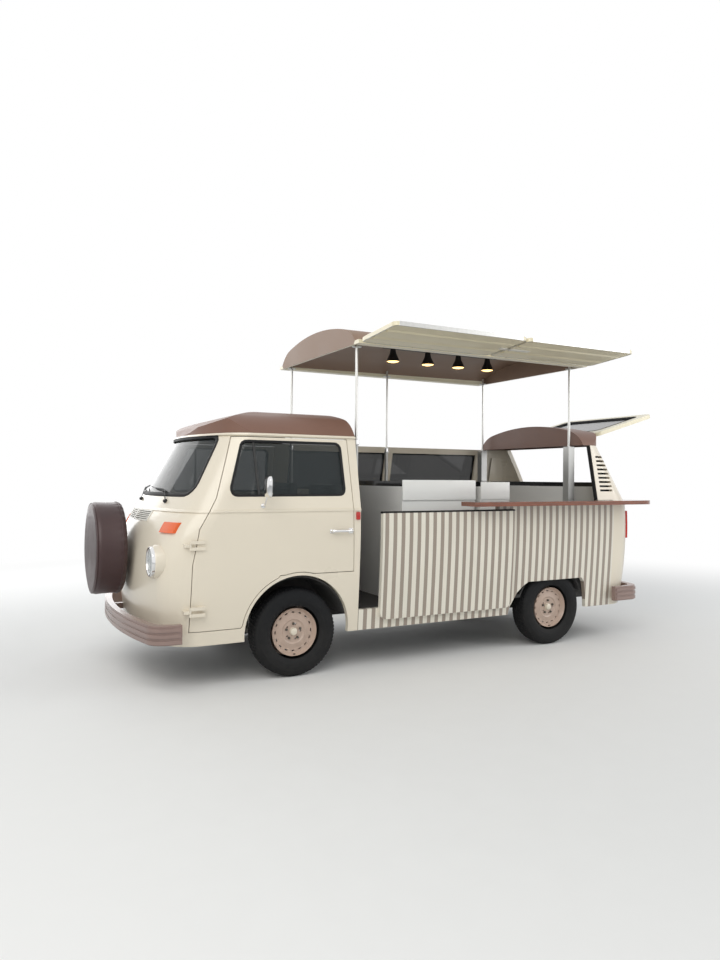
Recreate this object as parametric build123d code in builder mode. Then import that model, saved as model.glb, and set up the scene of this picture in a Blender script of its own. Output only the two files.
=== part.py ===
# Street food van: a rear-engined delivery van with a lifting roof, two serving
# wings, a service shelf and a galley, built as separate pieces at real size.
# Millimetres. X points forward, Y to the van's left (the serving side), Z up.
# Everything is drawn in the van's own frame, whose origin lies on the ground
# under the middle of the front axle; save() moves it to the centre of the whole
# outline when the files are written.
import os
from math import cos, radians, sin

from build123d import *

os.makedirs("parts", exist_ok=True)

# Place of the outline's centre in the van's own frame
outline_mid_x = -1292.0
outline_mid_y = 148.0

# Wheels and track
wheelbase = 2400.0
track_front = 1395.0
track_rear = 1435.0
tyre_radius = 320.0
tyre_width = 185.0
rim_half_width = 70.0
rim_lip_radius = 190.0
rim_seat_radius = 172.0
rim_well_radius = 160.0
disc_face = 30.0
disc_sheet = 12.0
stub_radius = 20.0
stub_gap = 0.05
stub_reach = 45.0
bolt_circle_radius = 56.0
bolt_hole_radius = 7.0
bolt_count = 5
vent_circle_radius = 139.0
vent_count = 16
vent_length = 24.0
vent_width = 10.0
wheel_z = tyre_radius
kingpin_y = 590.0

# Body: outer form as plan sections, from the sill up to the gutter
body_wall = 40.0
sill_z = 300.0
belt_z = 1215.0
gutter_z = 1748.0
front_corner_radius = 250.0
rear_corner_radius = 240.0
front_sweep_low = 147.0
front_sweep_high = 215.0
rear_sweep = 35.0
# columns: height, nose, half width, tail, front sweep, front and rear corner radius
lower_sections = (
    (sill_z, 1020.0, 815.0, -3350.0, front_sweep_low, front_corner_radius, rear_corner_radius),
    (600.0, 1052.0, 838.0, -3392.0, front_sweep_low, front_corner_radius, rear_corner_radius),
    (900.0, 1050.0, 856.0, -3400.0, front_sweep_low, front_corner_radius, rear_corner_radius),
    (belt_z, 930.0, 860.0, -3385.0, front_sweep_high, front_corner_radius, rear_corner_radius),
)
upper_sections = (
    (belt_z, 930.0, 860.0, -3385.0, front_sweep_high, front_corner_radius, rear_corner_radius),
    (gutter_z, 638.0, 752.0, -3125.0, front_sweep_high, front_corner_radius, rear_corner_radius),
)

# Mouldings that run round the body: the belt line and the gutter under the roof
belt_line_z = 1196.0
belt_line_height = 14.0
belt_line_proud = 7.0
gutter_lip_z = 1732.0
gutter_lip_height = 12.0
gutter_lip_proud = 13.0

# Roof above the gutter
roof_top_z = 1955.0
roof_shoulder_y = 560.0
roof_shoulder_drop = 65.0
roof_front_x = 600.0
roof_front_z = 1800.0
roof_crown_x = -150.0
roof_tail_drop_x = -2900.0
roof_tail_z = 1868.0
cut_margin = 20.0

# Where the body is divided
cab_rear_x = -480.0
roof_cut_x = -2800.0
rear_roof_x = -2806.0
quarter_rear_x = -3080.0
pillar_front_x = -2890.0
panel_gap = 0.3
moving_gap = 5.0

# Cab doors and glass
door_gap = 5.0
door_hinge_x = 790.0
door_hinge_y = 867.0
door_hinge_levels = (540.0, 980.0)
glass_thickness = 5.0
glass_depth = 14.0
arch_front_radius = 400.0
arch_front_z = 340.0
arch_lip = 25.0
arch_foot = 370.0
windscreen_low_z = 1300.0
windscreen_high_z = 1722.0
windscreen_half_low = 690.0
windscreen_half_high = 600.0
windscreen_corner = 70.0

# Raised roof, its poles and wings
roof_lift = 700.0
roof_drop = 695.0
rail_width = 46.0
rail_height = 28.0
pole_radius = 11.0
tube_radius = 17.0
tube_gap = 0.5
post_side = 70.0
tube_top_z = 1735.0
pole_engagement = 60.0
wing_thickness = 28.0
wing_width = 505.0
wing_tilt = 4.5
wing_hinge_y = 820.0
barrel_radius = 7.0
pin_radius = 4.0
pin_gap = 0.08
lug_width = 30.0
lug_clearance = 1.0
lug_radius = 9.0
lug_half_height = 7.5
wing_lug_x = (-700.0, -1450.0, -1890.0, -2600.0)
wing_front_x = -486.0
wing_split_x = -1670.0
wing_rear_x = -2796.0
wing_gap = 10.0

# Serving side
shelf_bottom_z = 1217.0
shelf_thickness = 35.0
shelf_front_x = -1415.0
shelf_inner_y = 822.0
half_door_front_x = -650.0
half_door_rear_x = -1900.0
half_door_low_z = 370.0
half_door_high_z = 1176.0
half_door_thickness = 38.0
opening_rear_x = -1760.0
floor_top_z = 455.0
floor_thickness = 25.0

# Galley
cabinet_top_z = 1372.0
worktop_thickness = 40.0
engine_deck_z = 860.0
engine_deck_x = -2700.0
# columns: x, y, foot height of each roof pole's tube; the last two stand in square posts
poles = (
    (-545.0, 650.0, floor_top_z),
    (-545.0, -650.0, floor_top_z),
    (-1564.0, -650.0, floor_top_z),
    (-2740.0, 640.0, engine_deck_z),
    (-2740.0, -640.0, engine_deck_z),
)

# Tailgate
tailgate_hinge_x = -3134.0
tailgate_hinge_z = 1878.0
tailgate_length = 790.0
tailgate_half_width = 590.0
tailgate_thickness = 36.0
tailgate_tilt = 16.0
tailgate_low_z = 1252.0
tailgate_frame = 95.0

# Engine lid
lid_low_z = 560.0
lid_top_gap = 12.0
lid_high_z = 890.0
lid_half_width = 430.0
lid_lug_y = (-250.0, 250.0)
lid_pin_x = -3386.0
lid_pin_z = 878.0

# Nose
spare_radius = 340.0
spare_front_x = 1310.0
spare_back_x = 1085.0
spare_z = 910.0
headlamp_radius = 92.0
headlamp_y = 640.0
headlamp_z = 862.0
bumper_low_z = 345.0
bumper_high_z = 472.0
bumper_wall = 45.0
bumper_rib_levels = (352.0, 392.0, 432.0)
bumper_rib_height = 24.0
bumper_rib_proud = 6.0
bumper_front_x = 1150.0
bumper_end_x = 850.0
bumper_half_width = 905.0
rear_bumper_x = -3475.0
rear_bumper_end_x = -3060.0


def plan_outline(nose, half, tail, sweep, front_radius, tail_radius):
    """One plan section: bowed nose and tail joined by straight sides, corners rounded."""
    with BuildSketch() as outline:
        with BuildLine():
            ThreePointArc((nose - sweep, -half), (nose, 0), (nose - sweep, half))
            Line((nose - sweep, half), (tail + rear_sweep, half))
            ThreePointArc((tail + rear_sweep, half), (tail, 0), (tail + rear_sweep, -half))
            Line((tail + rear_sweep, -half), (nose - sweep, -half))
        make_face()
        fillet(vertices().sort_by(Axis.X)[2:], front_radius)
        fillet(vertices().sort_by(Axis.X)[:2], tail_radius)
    return outline.sketch


def body_form(sections, inset, low_z, ruled):
    """Loft one stack of plan sections, drawn in by inset, its lowest one moved to low_z."""
    with BuildPart() as form:
        for index, (height, nose, half, tail, sweep, front_r, tail_r) in enumerate(sections):
            level = low_z if index == 0 else height
            with BuildSketch(Plane.XY.offset(level)):
                add(plan_outline(nose - inset, half - inset, tail + inset, sweep,
                                 front_r - inset / 2, tail_r - inset / 2))
        loft(ruled=ruled)
    return form.part


def roof_form(inset):
    """The crowned roof above the gutter: cross-section, side profile and plan in common."""
    half = upper_sections[-1][2] - inset
    nose = upper_sections[-1][1] - inset
    tail = upper_sections[-1][3] + inset
    top = roof_top_z - inset
    shoulder_y = roof_shoulder_y - inset
    shoulder_z = top - roof_shoulder_drop
    with BuildPart() as form:
        with BuildSketch(Plane.YZ.offset(tail)):
            with BuildLine():
                crown = ThreePointArc((-shoulder_y, shoulder_z), (0, top), (shoulder_y, shoulder_z))
                TangentArc(crown @ 1, (half, gutter_z), tangent=crown % 1)
                Line((half, gutter_z), (-half, gutter_z))
                TangentArc(crown @ 0, (-half, gutter_z), tangent=(crown % 0) * -1)
            make_face()
        extrude(amount=nose - tail)
        with BuildSketch(Plane.XZ):
            with BuildLine():
                Polyline((tail - 1, roof_tail_z - inset), (tail - 1, gutter_z - cut_margin),
                         (nose, gutter_z - cut_margin), (nose, gutter_z),
                         (roof_front_x - inset, roof_front_z - inset / 2))
                front = ThreePointArc((roof_front_x - inset, roof_front_z - inset / 2),
                                      ((roof_front_x + roof_crown_x) / 2 + 60 - inset, top - 42),
                                      (roof_crown_x, top))
                Polyline(front @ 1, (roof_tail_drop_x, top), (tail - 1, roof_tail_z - inset))
            make_face()
        extrude(amount=half + 10, both=True, mode=Mode.INTERSECT)
        with BuildSketch(Plane.XY.offset(gutter_z - cut_margin)):
            add(plan_outline(nose, half, tail, front_sweep_high, front_corner_radius - inset / 2,
                             rear_corner_radius - inset / 2))
        extrude(amount=roof_top_z - gutter_z + 3 * cut_margin, mode=Mode.INTERSECT)
    return form.part


def hull(inset):
    """The body's outer form from sill to gutter, drawn in by inset."""
    with BuildPart() as form:
        add(body_form(lower_sections, inset, sill_z - max(inset, 0), False))
        add(body_form(upper_sections, inset, belt_z, True))
    return form.part


def block(low, high):
    """A box between two corners."""
    with BuildPart() as box:
        with Locations([tuple((a + b) / 2 for a, b in zip(low, high))]):
            Box(*[b - a for a, b in zip(low, high)])
    return box.part


def moulding(low_z, height, proud):
    """A flat band round the whole body, standing proud of it."""
    with BuildPart() as band:
        add(hull(-proud))
        add(block((-3600, -1100, low_z), (1300, 1100, low_z + height)), mode=Mode.INTERSECT)
    return band.part


hull_outer = hull(0)
hull_inner = hull(body_wall)
hull_clear = hull(-panel_gap)
with BuildPart() as plain_wall:
    add(hull_outer)
    add(hull_inner, mode=Mode.SUBTRACT)
with BuildPart() as wall:
    add(hull_outer)
    add(moulding(belt_line_z, belt_line_height, belt_line_proud))
    add(moulding(gutter_lip_z, gutter_lip_height, gutter_lip_proud))
    add(hull_inner, mode=Mode.SUBTRACT)
roof_outer = roof_form(0)
roof_inner = roof_form(body_wall)
with BuildPart() as roof_wall:
    add(roof_outer)
    add(roof_inner, mode=Mode.SUBTRACT)
with BuildPart() as pane:
    add(hull(glass_depth))
    add(hull(glass_depth + glass_thickness), mode=Mode.SUBTRACT)


def side_prism(points, from_y, to_y):
    """A prism with the given outline in X and Z, from one Y to another."""
    with BuildPart() as prism:
        with BuildSketch(Plane.XZ.offset(-from_y)):
            with BuildLine():
                Polyline(*points, close=True)
            make_face()
        extrude(amount=from_y - to_y)
    return prism.part


def cylinder_y(x, z, radius, from_y, to_y):
    """A round bar across the van."""
    with BuildPart() as bar:
        with BuildSketch(Plane.XZ.offset(-from_y)):
            with Locations((x, z)):
                Circle(radius)
        extrude(amount=from_y - to_y)
    return bar.part


def bar_z(x, y, radius, low_z, high_z):
    """An upright round bar."""
    with BuildPart() as bar:
        with BuildSketch(Plane.XY.offset(low_z)):
            with Locations((x, y)):
                Circle(radius)
        extrude(amount=high_z - low_z)
    return bar.part


def save(piece, name):
    """Label a piece, move it to the outline's centre and write its file."""
    placed = piece.moved(Location((-outline_mid_x, -outline_mid_y, 0)))
    placed.label = name
    export_step(placed, f"parts/{name}.step")


# Door outline in X and Z, and its window
door_outline = ((781, 400), (769, 846), (724, 1083), (605, 1290), (462, 1718), (-405, 1718),
                (-428, 750), (150, 750), (430, 400))
door_window_corner = 45.0
door_window = ((529, 1302), (403, 1690), (-354, 1690), (-366, 1304))


def door_prism(grow, side):
    """The door's outline, grown by its gap, less the wheel arch, on one side of the van."""
    with BuildPart() as prism:
        with BuildSketch(Plane.XZ):
            with BuildLine():
                Polyline(*door_outline, close=True)
            make_face()
            if grow:
                offset(amount=grow, kind=Kind.INTERSECTION)
            with Locations((0, arch_front_z)):
                Circle(arch_front_radius + arch_lip - grow, mode=Mode.SUBTRACT)
        extrude(amount=-side * 1000)
    return prism.part


def side_block(x_range, y_range, z_range, side):
    """A box on one side of the van, its Y range measured outward from the middle."""
    low_y, high_y = sorted(side * y for y in y_range)
    return block((x_range[0], low_y, z_range[0]), (x_range[1], high_y, z_range[1]))


door_barrel_half = 9.5
door_barrel_gap = 1.0
door_barrel_length = 21.5
hinge_plate_half = 4.0
hinge_plate_front_x = 736.0
hinge_plate_rear_x = 690.0


def door_leaf(level, side):
    """The door's half of an outside hinge: two barrels on a leaf, and the pin between them."""
    near = door_barrel_half + door_barrel_gap
    far = near + door_barrel_length
    plate_y = (door_hinge_y - hinge_plate_half, door_hinge_y + hinge_plate_half)
    with BuildPart() as leaf:
        for heights in ((level - far, level - near), (level + near, level + far)):
            add(bar_z(door_hinge_x, side * door_hinge_y, barrel_radius, *heights))
            add(side_block((hinge_plate_rear_x, door_hinge_x), plate_y, heights, side))
            add(side_block((hinge_plate_rear_x, hinge_plate_front_x), (815, plate_y[1]), heights, side))
        add(bar_z(door_hinge_x, side * door_hinge_y, pin_radius, level - near - 1.5, level + near + 1.5))
    return leaf.part


def door_lug(level, side):
    """The body's half of an outside hinge: one barrel that turns on the pin."""
    heights = (level - door_barrel_half, level + door_barrel_half)
    with BuildPart() as lug:
        add(bar_z(door_hinge_x, side * door_hinge_y, barrel_radius, *heights))
        add(side_block((door_hinge_x, door_hinge_x + 40), (800, door_hinge_y + 2), heights, side))
        add(bar_z(door_hinge_x, side * door_hinge_y, pin_radius + pin_gap, level - 20, level + 20),
            mode=Mode.SUBTRACT)
    return lug.part


def window_prism(grow, side):
    """The door window's outline with round corners, on one side of the van."""
    with BuildPart() as prism:
        with BuildSketch(Plane.XZ):
            with BuildLine():
                Polyline(*door_window, close=True)
            make_face()
            fillet(vertices(), door_window_corner)
            if grow:
                offset(amount=grow)
        extrude(amount=-side * 1000)
    return prism.part


def windscreen_prism(grow):
    """The windscreen's outline seen from the front."""
    with BuildPart() as prism:
        with BuildSketch(Plane.YZ.offset(300)):
            with BuildLine():
                Polyline((-windscreen_half_low, windscreen_low_z), (windscreen_half_low, windscreen_low_z),
                         (windscreen_half_high, windscreen_high_z),
                         (-windscreen_half_high, windscreen_high_z), close=True)
            make_face()
            fillet(vertices(), windscreen_corner)
            if grow:
                offset(amount=grow)
        extrude(amount=900)
    return prism.part


# Cab body: nose, pillars and the door frames
grille_low_z = 1120.0
grille_high_z = 1195.0
grille_half = 330.0
grille_rim = 14.0
grille_slots = 5
with BuildPart() as cab_body:
    add(wall.part)
    add(block((cab_rear_x, -1000, 0), (1300, 1000, gutter_z)), mode=Mode.INTERSECT)
    for side in (1, -1):
        add(door_prism(door_gap, side), mode=Mode.SUBTRACT)
        add(cylinder_y(0, arch_front_z, arch_front_radius, side * 400, side * 1000), mode=Mode.SUBTRACT)
        add(side_block((-arch_foot, arch_foot), (400, 1000), (0, arch_front_z), side), mode=Mode.SUBTRACT)
    add(windscreen_prism(0), mode=Mode.SUBTRACT)
    add(block((700, -grille_half, grille_low_z), (1300, grille_half, grille_high_z)), mode=Mode.SUBTRACT)
    for side in (1, -1):
        for level in door_hinge_levels:
            add(door_lug(level, side))
save(cab_body.part, "cab_body")

# Cab roof
with BuildPart() as cab_roof:
    add(roof_wall.part)
    add(block((cab_rear_x, -1000, gutter_z + panel_gap), (1300, 1000, 2100)), mode=Mode.INTERSECT)
save(cab_roof.part, "cab_roof")

# Windscreen
with BuildPart() as windscreen:
    add(pane.part)
    add(windscreen_prism(-panel_gap), mode=Mode.INTERSECT)
save(windscreen.part, "windscreen")

# Doors, their glass and mirrors
mirror_x = 270.0
mirror_y = 955.0
mirror_z = 1370.0
mirror_radius = 72.0
mirror_depth = 24.0
mirror_arm = 12.0
for side, hand in ((1, "left"), (-1, "right")):
    with BuildPart() as door:
        add(wall.part)
        add(door_prism(0, side), mode=Mode.INTERSECT)
        add(window_prism(0, side), mode=Mode.SUBTRACT)
        for level in door_hinge_levels:
            add(door_leaf(level, side))
    save(door.part, f"door_{hand}")

    with BuildPart() as door_glass:
        add(pane.part)
        add(window_prism(-panel_gap, side), mode=Mode.INTERSECT)
    save(door_glass.part, f"door_glass_{hand}")

    with BuildPart() as mirror:
        with BuildSketch(Plane.YZ.offset(mirror_x)):
            with Locations((side * mirror_y, mirror_z)):
                Circle(mirror_radius)
        extrude(amount=mirror_depth)
        with BuildSketch(Plane.YZ.offset(mirror_x + 8)):
            with BuildLine():
                Polyline((side * 850, 1236), (side * 874, 1236), (side * 962, 1360), (side * 950, 1366),
                         (side * 850, 1250), close=True)
            make_face()
        extrude(amount=mirror_arm)
        add(hull_clear, mode=Mode.SUBTRACT)
    save(mirror.part, f"mirror_{hand}")

# Fresh-air grille in the nose
with BuildPart() as air_grille:
    add(hull(-6))
    add(hull(14), mode=Mode.SUBTRACT)
    add(block((700, -grille_half + panel_gap, grille_low_z + panel_gap),
              (1300, grille_half - panel_gap, grille_high_z - panel_gap)), mode=Mode.INTERSECT)
    slot_pitch = (grille_high_z - grille_low_z) / (grille_slots + 1)
    slot_half_length = (grille_half - grille_rim - grille_rim / 2) / 2
    with BuildSketch(Plane.YZ.offset(700)):
        for row in range(grille_slots):
            centre = grille_low_z + slot_pitch * (row + 1)
            with Locations((-grille_half / 2 - grille_rim / 4, centre), (grille_half / 2 + grille_rim / 4, centre)):
                Rectangle(2 * slot_half_length - grille_rim, 6)
    extrude(amount=600, mode=Mode.SUBTRACT)
save(air_grille.part, "air_grille")

# Right side: the whole wall with its two windows
window_low_z = 1330.0
window_high_z = 1690.0
# columns: front, rear
right_windows = ((-560.0, -1600.0), (-1680.0, -2720.0))
arch_rear = ((-1885, 250), (-1922, 372), (-1993, 485), (-2061, 540), (-2109, 566), (-2717, 568),
             (-2746, 525), (-2770, 415), (-2785, 250))
tyre_pocket_radius = tyre_radius + 14


def wheel_pocket(side):
    """The hollow that keeps the body side clear of the rear tyre."""
    face_y = side * (track_rear / 2 + tyre_width / 2 + 6)
    return cylinder_y(-wheelbase, wheel_z, tyre_pocket_radius, side * 500, face_y)


with BuildPart() as right_side:
    add(wall.part)
    add(block((quarter_rear_x, -1000, 0), (cab_rear_x - panel_gap, -400, gutter_z)), mode=Mode.INTERSECT)
    for front, rear in right_windows:
        add(side_prism(((front, window_low_z), (front, window_high_z), (rear, window_high_z),
                        (rear, window_low_z)), -400, -1000), mode=Mode.SUBTRACT)
    add(side_prism(arch_rear, -500, -1000), mode=Mode.SUBTRACT)
    add(wheel_pocket(-1), mode=Mode.SUBTRACT)
    add(block((quarter_rear_x - 1, -1000, belt_z + 40), (pillar_front_x + panel_gap, -400, gutter_z)),
        mode=Mode.SUBTRACT)
save(right_side.part, "right_side")

with BuildPart() as right_window_holes:
    for front, rear in right_windows:
        add(block((rear + panel_gap, -1000, window_low_z + panel_gap),
                  (front - panel_gap, -400, window_high_z - panel_gap)))
with BuildPart() as right_windows_glass:
    add(pane.part)
    add(right_window_holes.part, mode=Mode.INTERSECT)
save(right_windows_glass.part, "right_windows")

# Left side: rear quarter and sill
with BuildPart() as left_side:
    add(plain_wall.part)
    add(block((quarter_rear_x, 400, 0), (cab_rear_x - panel_gap, 1000, shelf_bottom_z - panel_gap)),
        mode=Mode.INTERSECT)
    add(block((opening_rear_x, 400, floor_top_z), (cab_rear_x + 1, 1000, 1300)), mode=Mode.SUBTRACT)
    add(side_prism(arch_rear, 500, 1000), mode=Mode.SUBTRACT)
    add(wheel_pocket(1), mode=Mode.SUBTRACT)
save(left_side.part, "left_side")

# Sliding half-door, pushed partly open on the outside of the quarter
half_door_corner = 60.0
with BuildPart() as half_door_outline:
    with BuildSketch(Plane.XZ.offset(-400)):
        with BuildLine():
            Polyline((half_door_front_x, half_door_low_z), (half_door_front_x, half_door_high_z),
                     (half_door_rear_x, half_door_high_z), (half_door_rear_x, half_door_low_z), close=True)
        make_face()
        fillet(vertices().group_by(Axis.Y)[0], half_door_corner)
    extrude(amount=-700)
with BuildPart() as sliding_half_door:
    add(hull(-half_door_thickness))
    add(hull_clear, mode=Mode.SUBTRACT)
    add(half_door_outline.part, mode=Mode.INTERSECT)
save(sliding_half_door.part, "sliding_half_door")

# Rear body: corners, louvred pillars and the panel round the engine lid
louvre_count = 9
louvre_low_z = 1340.0
louvre_pitch = 38.0
louvre_front_x = -2935.0
louvre_rear_x = -3090.0
louvre_opening = 18.0
with BuildPart() as rear_body:
    add(plain_wall.part)
    add(block((-3600, -1000, 0), (pillar_front_x, 1000, gutter_z)), mode=Mode.INTERSECT)
    add(block((quarter_rear_x - panel_gap, -1000, 0), (pillar_front_x + 1, 1000, belt_z + 40)),
        mode=Mode.SUBTRACT)
    add(block((-3600, -tailgate_half_width - 10, tailgate_low_z), (-2700, tailgate_half_width + 10, 2000)),
        mode=Mode.SUBTRACT)
    add(block((-3600, -lid_half_width - door_gap, lid_low_z - door_gap),
              (-3200, lid_half_width + door_gap, lid_high_z + lid_top_gap)), mode=Mode.SUBTRACT)
    for row in range(louvre_count):
        centre = louvre_low_z + louvre_pitch * row
        for low_y in (-1000, 650):
            add(block((louvre_rear_x, low_y, centre - louvre_opening / 2),
                      (louvre_front_x, low_y + 350, centre + louvre_opening / 2)), mode=Mode.SUBTRACT)
    for y in lid_lug_y:
        add(block((lid_pin_x - lug_half_height, y - lug_width / 2, lid_pin_z),
                  (lid_pin_x + lug_half_height, y + lug_width / 2, lid_high_z + 25)))
        add(cylinder_y(lid_pin_x, lid_pin_z, lug_radius, y - lug_width / 2, y + lug_width / 2))
        add(cylinder_y(lid_pin_x, lid_pin_z, pin_radius + pin_gap, y - lug_width, y + lug_width),
            mode=Mode.SUBTRACT)
save(rear_body.part, "rear_body")

# Engine lid
with BuildPart() as engine_lid:
    add(hull_outer)
    add(hull(22), mode=Mode.SUBTRACT)
    add(block((-3600, -lid_half_width, lid_low_z), (-3200, lid_half_width, lid_high_z)), mode=Mode.INTERSECT)
    for y in lid_lug_y:
        half_notch = lug_width / 2 + lug_clearance
        add(block((lid_pin_x - 40, y - half_notch, lid_pin_z - 16),
                  (lid_pin_x + 40, y + half_notch, lid_high_z + 10)), mode=Mode.SUBTRACT)
        add(cylinder_y(lid_pin_x, lid_pin_z, pin_radius, y - half_notch - 4, y + half_notch + 4))
save(engine_lid.part, "engine_lid")

# Tailgate hinge: two lugs on the roof between notches in the gate
gate_lug_y = (-430.0, 430.0)
gate_pin_drop = 18.0
gate_pin_x = tailgate_hinge_x - 14
gate_pin_z = tailgate_hinge_z - gate_pin_drop + 4

# Rear roof and its arched fascia
fascia_thickness = 20.0
with BuildPart() as rear_roof_room:
    add(roof_inner)
    add(block((rear_roof_x - fascia_thickness, -1000, gutter_z), (0, 1000, 2100)), mode=Mode.SUBTRACT)
with BuildPart() as rear_roof:
    add(roof_outer)
    add(rear_roof_room.part, mode=Mode.SUBTRACT)
    add(block((-3600, -1000, gutter_z + panel_gap), (rear_roof_x, 1000, 2100)), mode=Mode.INTERSECT)
    add(block((-3600, -tailgate_half_width - 10, gutter_z - 1),
              (tailgate_hinge_x + 34, tailgate_half_width + 10, 2100)), mode=Mode.SUBTRACT)
    for y in gate_lug_y:
        add(block((gate_pin_x, y - lug_width / 2, gate_pin_z - lug_half_height),
                  (tailgate_hinge_x + 60, y + lug_width / 2, gate_pin_z + lug_half_height)))
        add(cylinder_y(gate_pin_x, gate_pin_z, lug_radius, y - lug_width / 2, y + lug_width / 2))
        add(cylinder_y(gate_pin_x, gate_pin_z, pin_radius + pin_gap, y - lug_width, y + lug_width),
            mode=Mode.SUBTRACT)
save(rear_roof.part, "rear_roof")

# Tailgate, standing open
gate_dir = Vector(-cos(radians(tailgate_tilt)), 0, sin(radians(tailgate_tilt)))
gate_plane = Plane(origin=(tailgate_hinge_x, 0, tailgate_hinge_z), x_dir=gate_dir,
                   z_dir=(sin(radians(tailgate_tilt)), 0, cos(radians(tailgate_tilt))))
with BuildPart() as tailgate:
    with BuildSketch(gate_plane):
        with Locations((tailgate_length / 2, 0)):
            RectangleRounded(tailgate_length, 2 * tailgate_half_width, 70)
        with Locations((tailgate_length / 2 + 10, 0)):
            RectangleRounded(tailgate_length - 2 * tailgate_frame, 2 * (tailgate_half_width - tailgate_frame), 60,
                             mode=Mode.SUBTRACT)
    extrude(amount=-tailgate_thickness)
    for y in gate_lug_y:
        half_notch = lug_width / 2 + lug_clearance
        add(block((gate_pin_x - 15, y - half_notch, tailgate_hinge_z - 60),
                  (gate_pin_x + 60, y + half_notch, tailgate_hinge_z + 60)), mode=Mode.SUBTRACT)
        add(cylinder_y(gate_pin_x, gate_pin_z, pin_radius, y - half_notch - 4, y + half_notch + 4))
save(tailgate.part, "tailgate")

with BuildPart() as tailgate_glass:
    with BuildSketch(gate_plane.offset(-tailgate_thickness / 2)):
        with Locations((tailgate_length / 2 + 10, 0)):
            RectangleRounded(tailgate_length - 2 * tailgate_frame - 2 * panel_gap,
                             2 * (tailgate_half_width - tailgate_frame - panel_gap), 60 - panel_gap)
    extrude(amount=glass_thickness)
save(tailgate_glass.part, "tailgate_glass")

# Service shelf round the left side and the tail
shelf_half = 1010.0
shelf_rear_x = -3470.0
shelf_corner = 150.0
with BuildPart() as shelf_room:
    add(hull_clear)
    add(block((pillar_front_x + 2, -1100, 0), (1300, 1100, 2100)), mode=Mode.SUBTRACT)
with BuildPart() as shelf:
    with BuildSketch(Plane.XY.offset(shelf_bottom_z)):
        with BuildLine():
            Polyline((shelf_front_x, shelf_inner_y), (shelf_front_x, shelf_half), (shelf_rear_x, shelf_half),
                     (shelf_rear_x, -shelf_half + 150), (-3200, -shelf_half + 150), (-3200, shelf_inner_y),
                     close=True)
        make_face()
        fillet(vertices().group_by(Axis.X)[0], shelf_corner)
    extrude(amount=shelf_thickness)
    add(shelf_room.part, mode=Mode.SUBTRACT)
save(shelf.part, "shelf")

# The room inside the walls, less a margin behind the doors
with BuildPart() as door_zone:
    add(door_prism(moving_gap + 1, 1))
    add(door_prism(moving_gap + 1, -1))
with BuildPart() as door_margin:
    add(hull_inner)
    add(hull(body_wall + moving_gap + 1), mode=Mode.SUBTRACT)
    add(door_zone.part, mode=Mode.INTERSECT)
with BuildPart() as cabin_room:
    add(hull(body_wall + panel_gap))
    add(door_margin.part, mode=Mode.SUBTRACT)

# Floor on its two long members
house_wall = 12.0
house_front_radius = arch_front_radius
house_rear_radius = tyre_radius + 40
member_y = 350.0
member_width = 40.0
member_depth = 90.0
# columns: hub x, radius, inner y
house_table = ((0.0, house_front_radius, 400.0), (-wheelbase, house_rear_radius, 580.0))
floor_low_z = floor_top_z - floor_thickness
with BuildPart() as floor:
    add(block((engine_deck_x, -1000, floor_low_z), (1000, 1000, floor_top_z)))
    for y in (-member_y, member_y):
        add(block((-2150, y - member_width / 2, floor_low_z - member_depth), (60, y + member_width / 2, floor_low_z)))
    for x, radius, inner in house_table:
        for side in (1, -1):
            add(cylinder_y(x, wheel_z, radius, side * inner, side * 1001), mode=Mode.SUBTRACT)
    add(cabin_room.part, mode=Mode.INTERSECT)
save(floor.part, "floor")

# Wheelhouses that stand on the floor over the tyres
with BuildPart() as wheelhouses:
    for x, radius, inner in house_table:
        for side in (1, -1):
            add(cylinder_y(x, wheel_z, radius + house_wall, side * (inner - house_wall), side * 1000))
    for x, radius, inner in house_table:
        for side in (1, -1):
            add(cylinder_y(x, wheel_z, radius, side * inner, side * 1001), mode=Mode.SUBTRACT)
    add(block((-3400, -1001, -200), (1001, 1001, floor_top_z + panel_gap)), mode=Mode.SUBTRACT)
    add(cabin_room.part, mode=Mode.INTERSECT)
save(wheelhouses.part, "wheelhouses")

# Engine deck, with the step wall in front of it
with BuildPart() as engine_deck:
    add(block((-3400, -1000, engine_deck_z - floor_thickness), (engine_deck_x, 1000, engine_deck_z)))
    add(block((engine_deck_x, -1000, floor_top_z + panel_gap), (engine_deck_x + floor_thickness, 1000, engine_deck_z)))
    for side in (1, -1):
        add(cylinder_y(-wheelbase, wheel_z, house_rear_radius + house_wall + panel_gap,
                       side * (house_table[1][2] - house_wall - panel_gap), side * 1000), mode=Mode.SUBTRACT)
    add(cabin_room.part, mode=Mode.INTERSECT)
save(engine_deck.part, "engine_deck")

# Galley cabinets and worktops
# columns: front x, rear x, inner y, outer y, foot z
cabinet_runs = (
    (-932.0, -1638.0, 250.0, 700.0, floor_top_z),
    (-1700.0, -2000.0, 250.0, 700.0, floor_top_z),
    (-932.0, -2000.0, -620.0, -200.0, floor_top_z),
    (-932.0, -990.0, -200.0 + panel_gap, 250.0 - panel_gap, floor_top_z),
    (-2790.0, -3260.0, -560.0, 560.0, engine_deck_z),
)
with BuildPart() as cabinets:
    for front, rear, inner, outer, foot in cabinet_runs:
        add(block((rear, inner, foot), (front, outer, cabinet_top_z)))
save(cabinets.part, "cabinets")

with BuildPart() as worktop:
    for front, rear, inner, outer, foot in cabinet_runs:
        add(block((rear, inner, cabinet_top_z), (front, outer, cabinet_top_z + worktop_thickness)))
save(worktop.part, "worktop")

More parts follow.
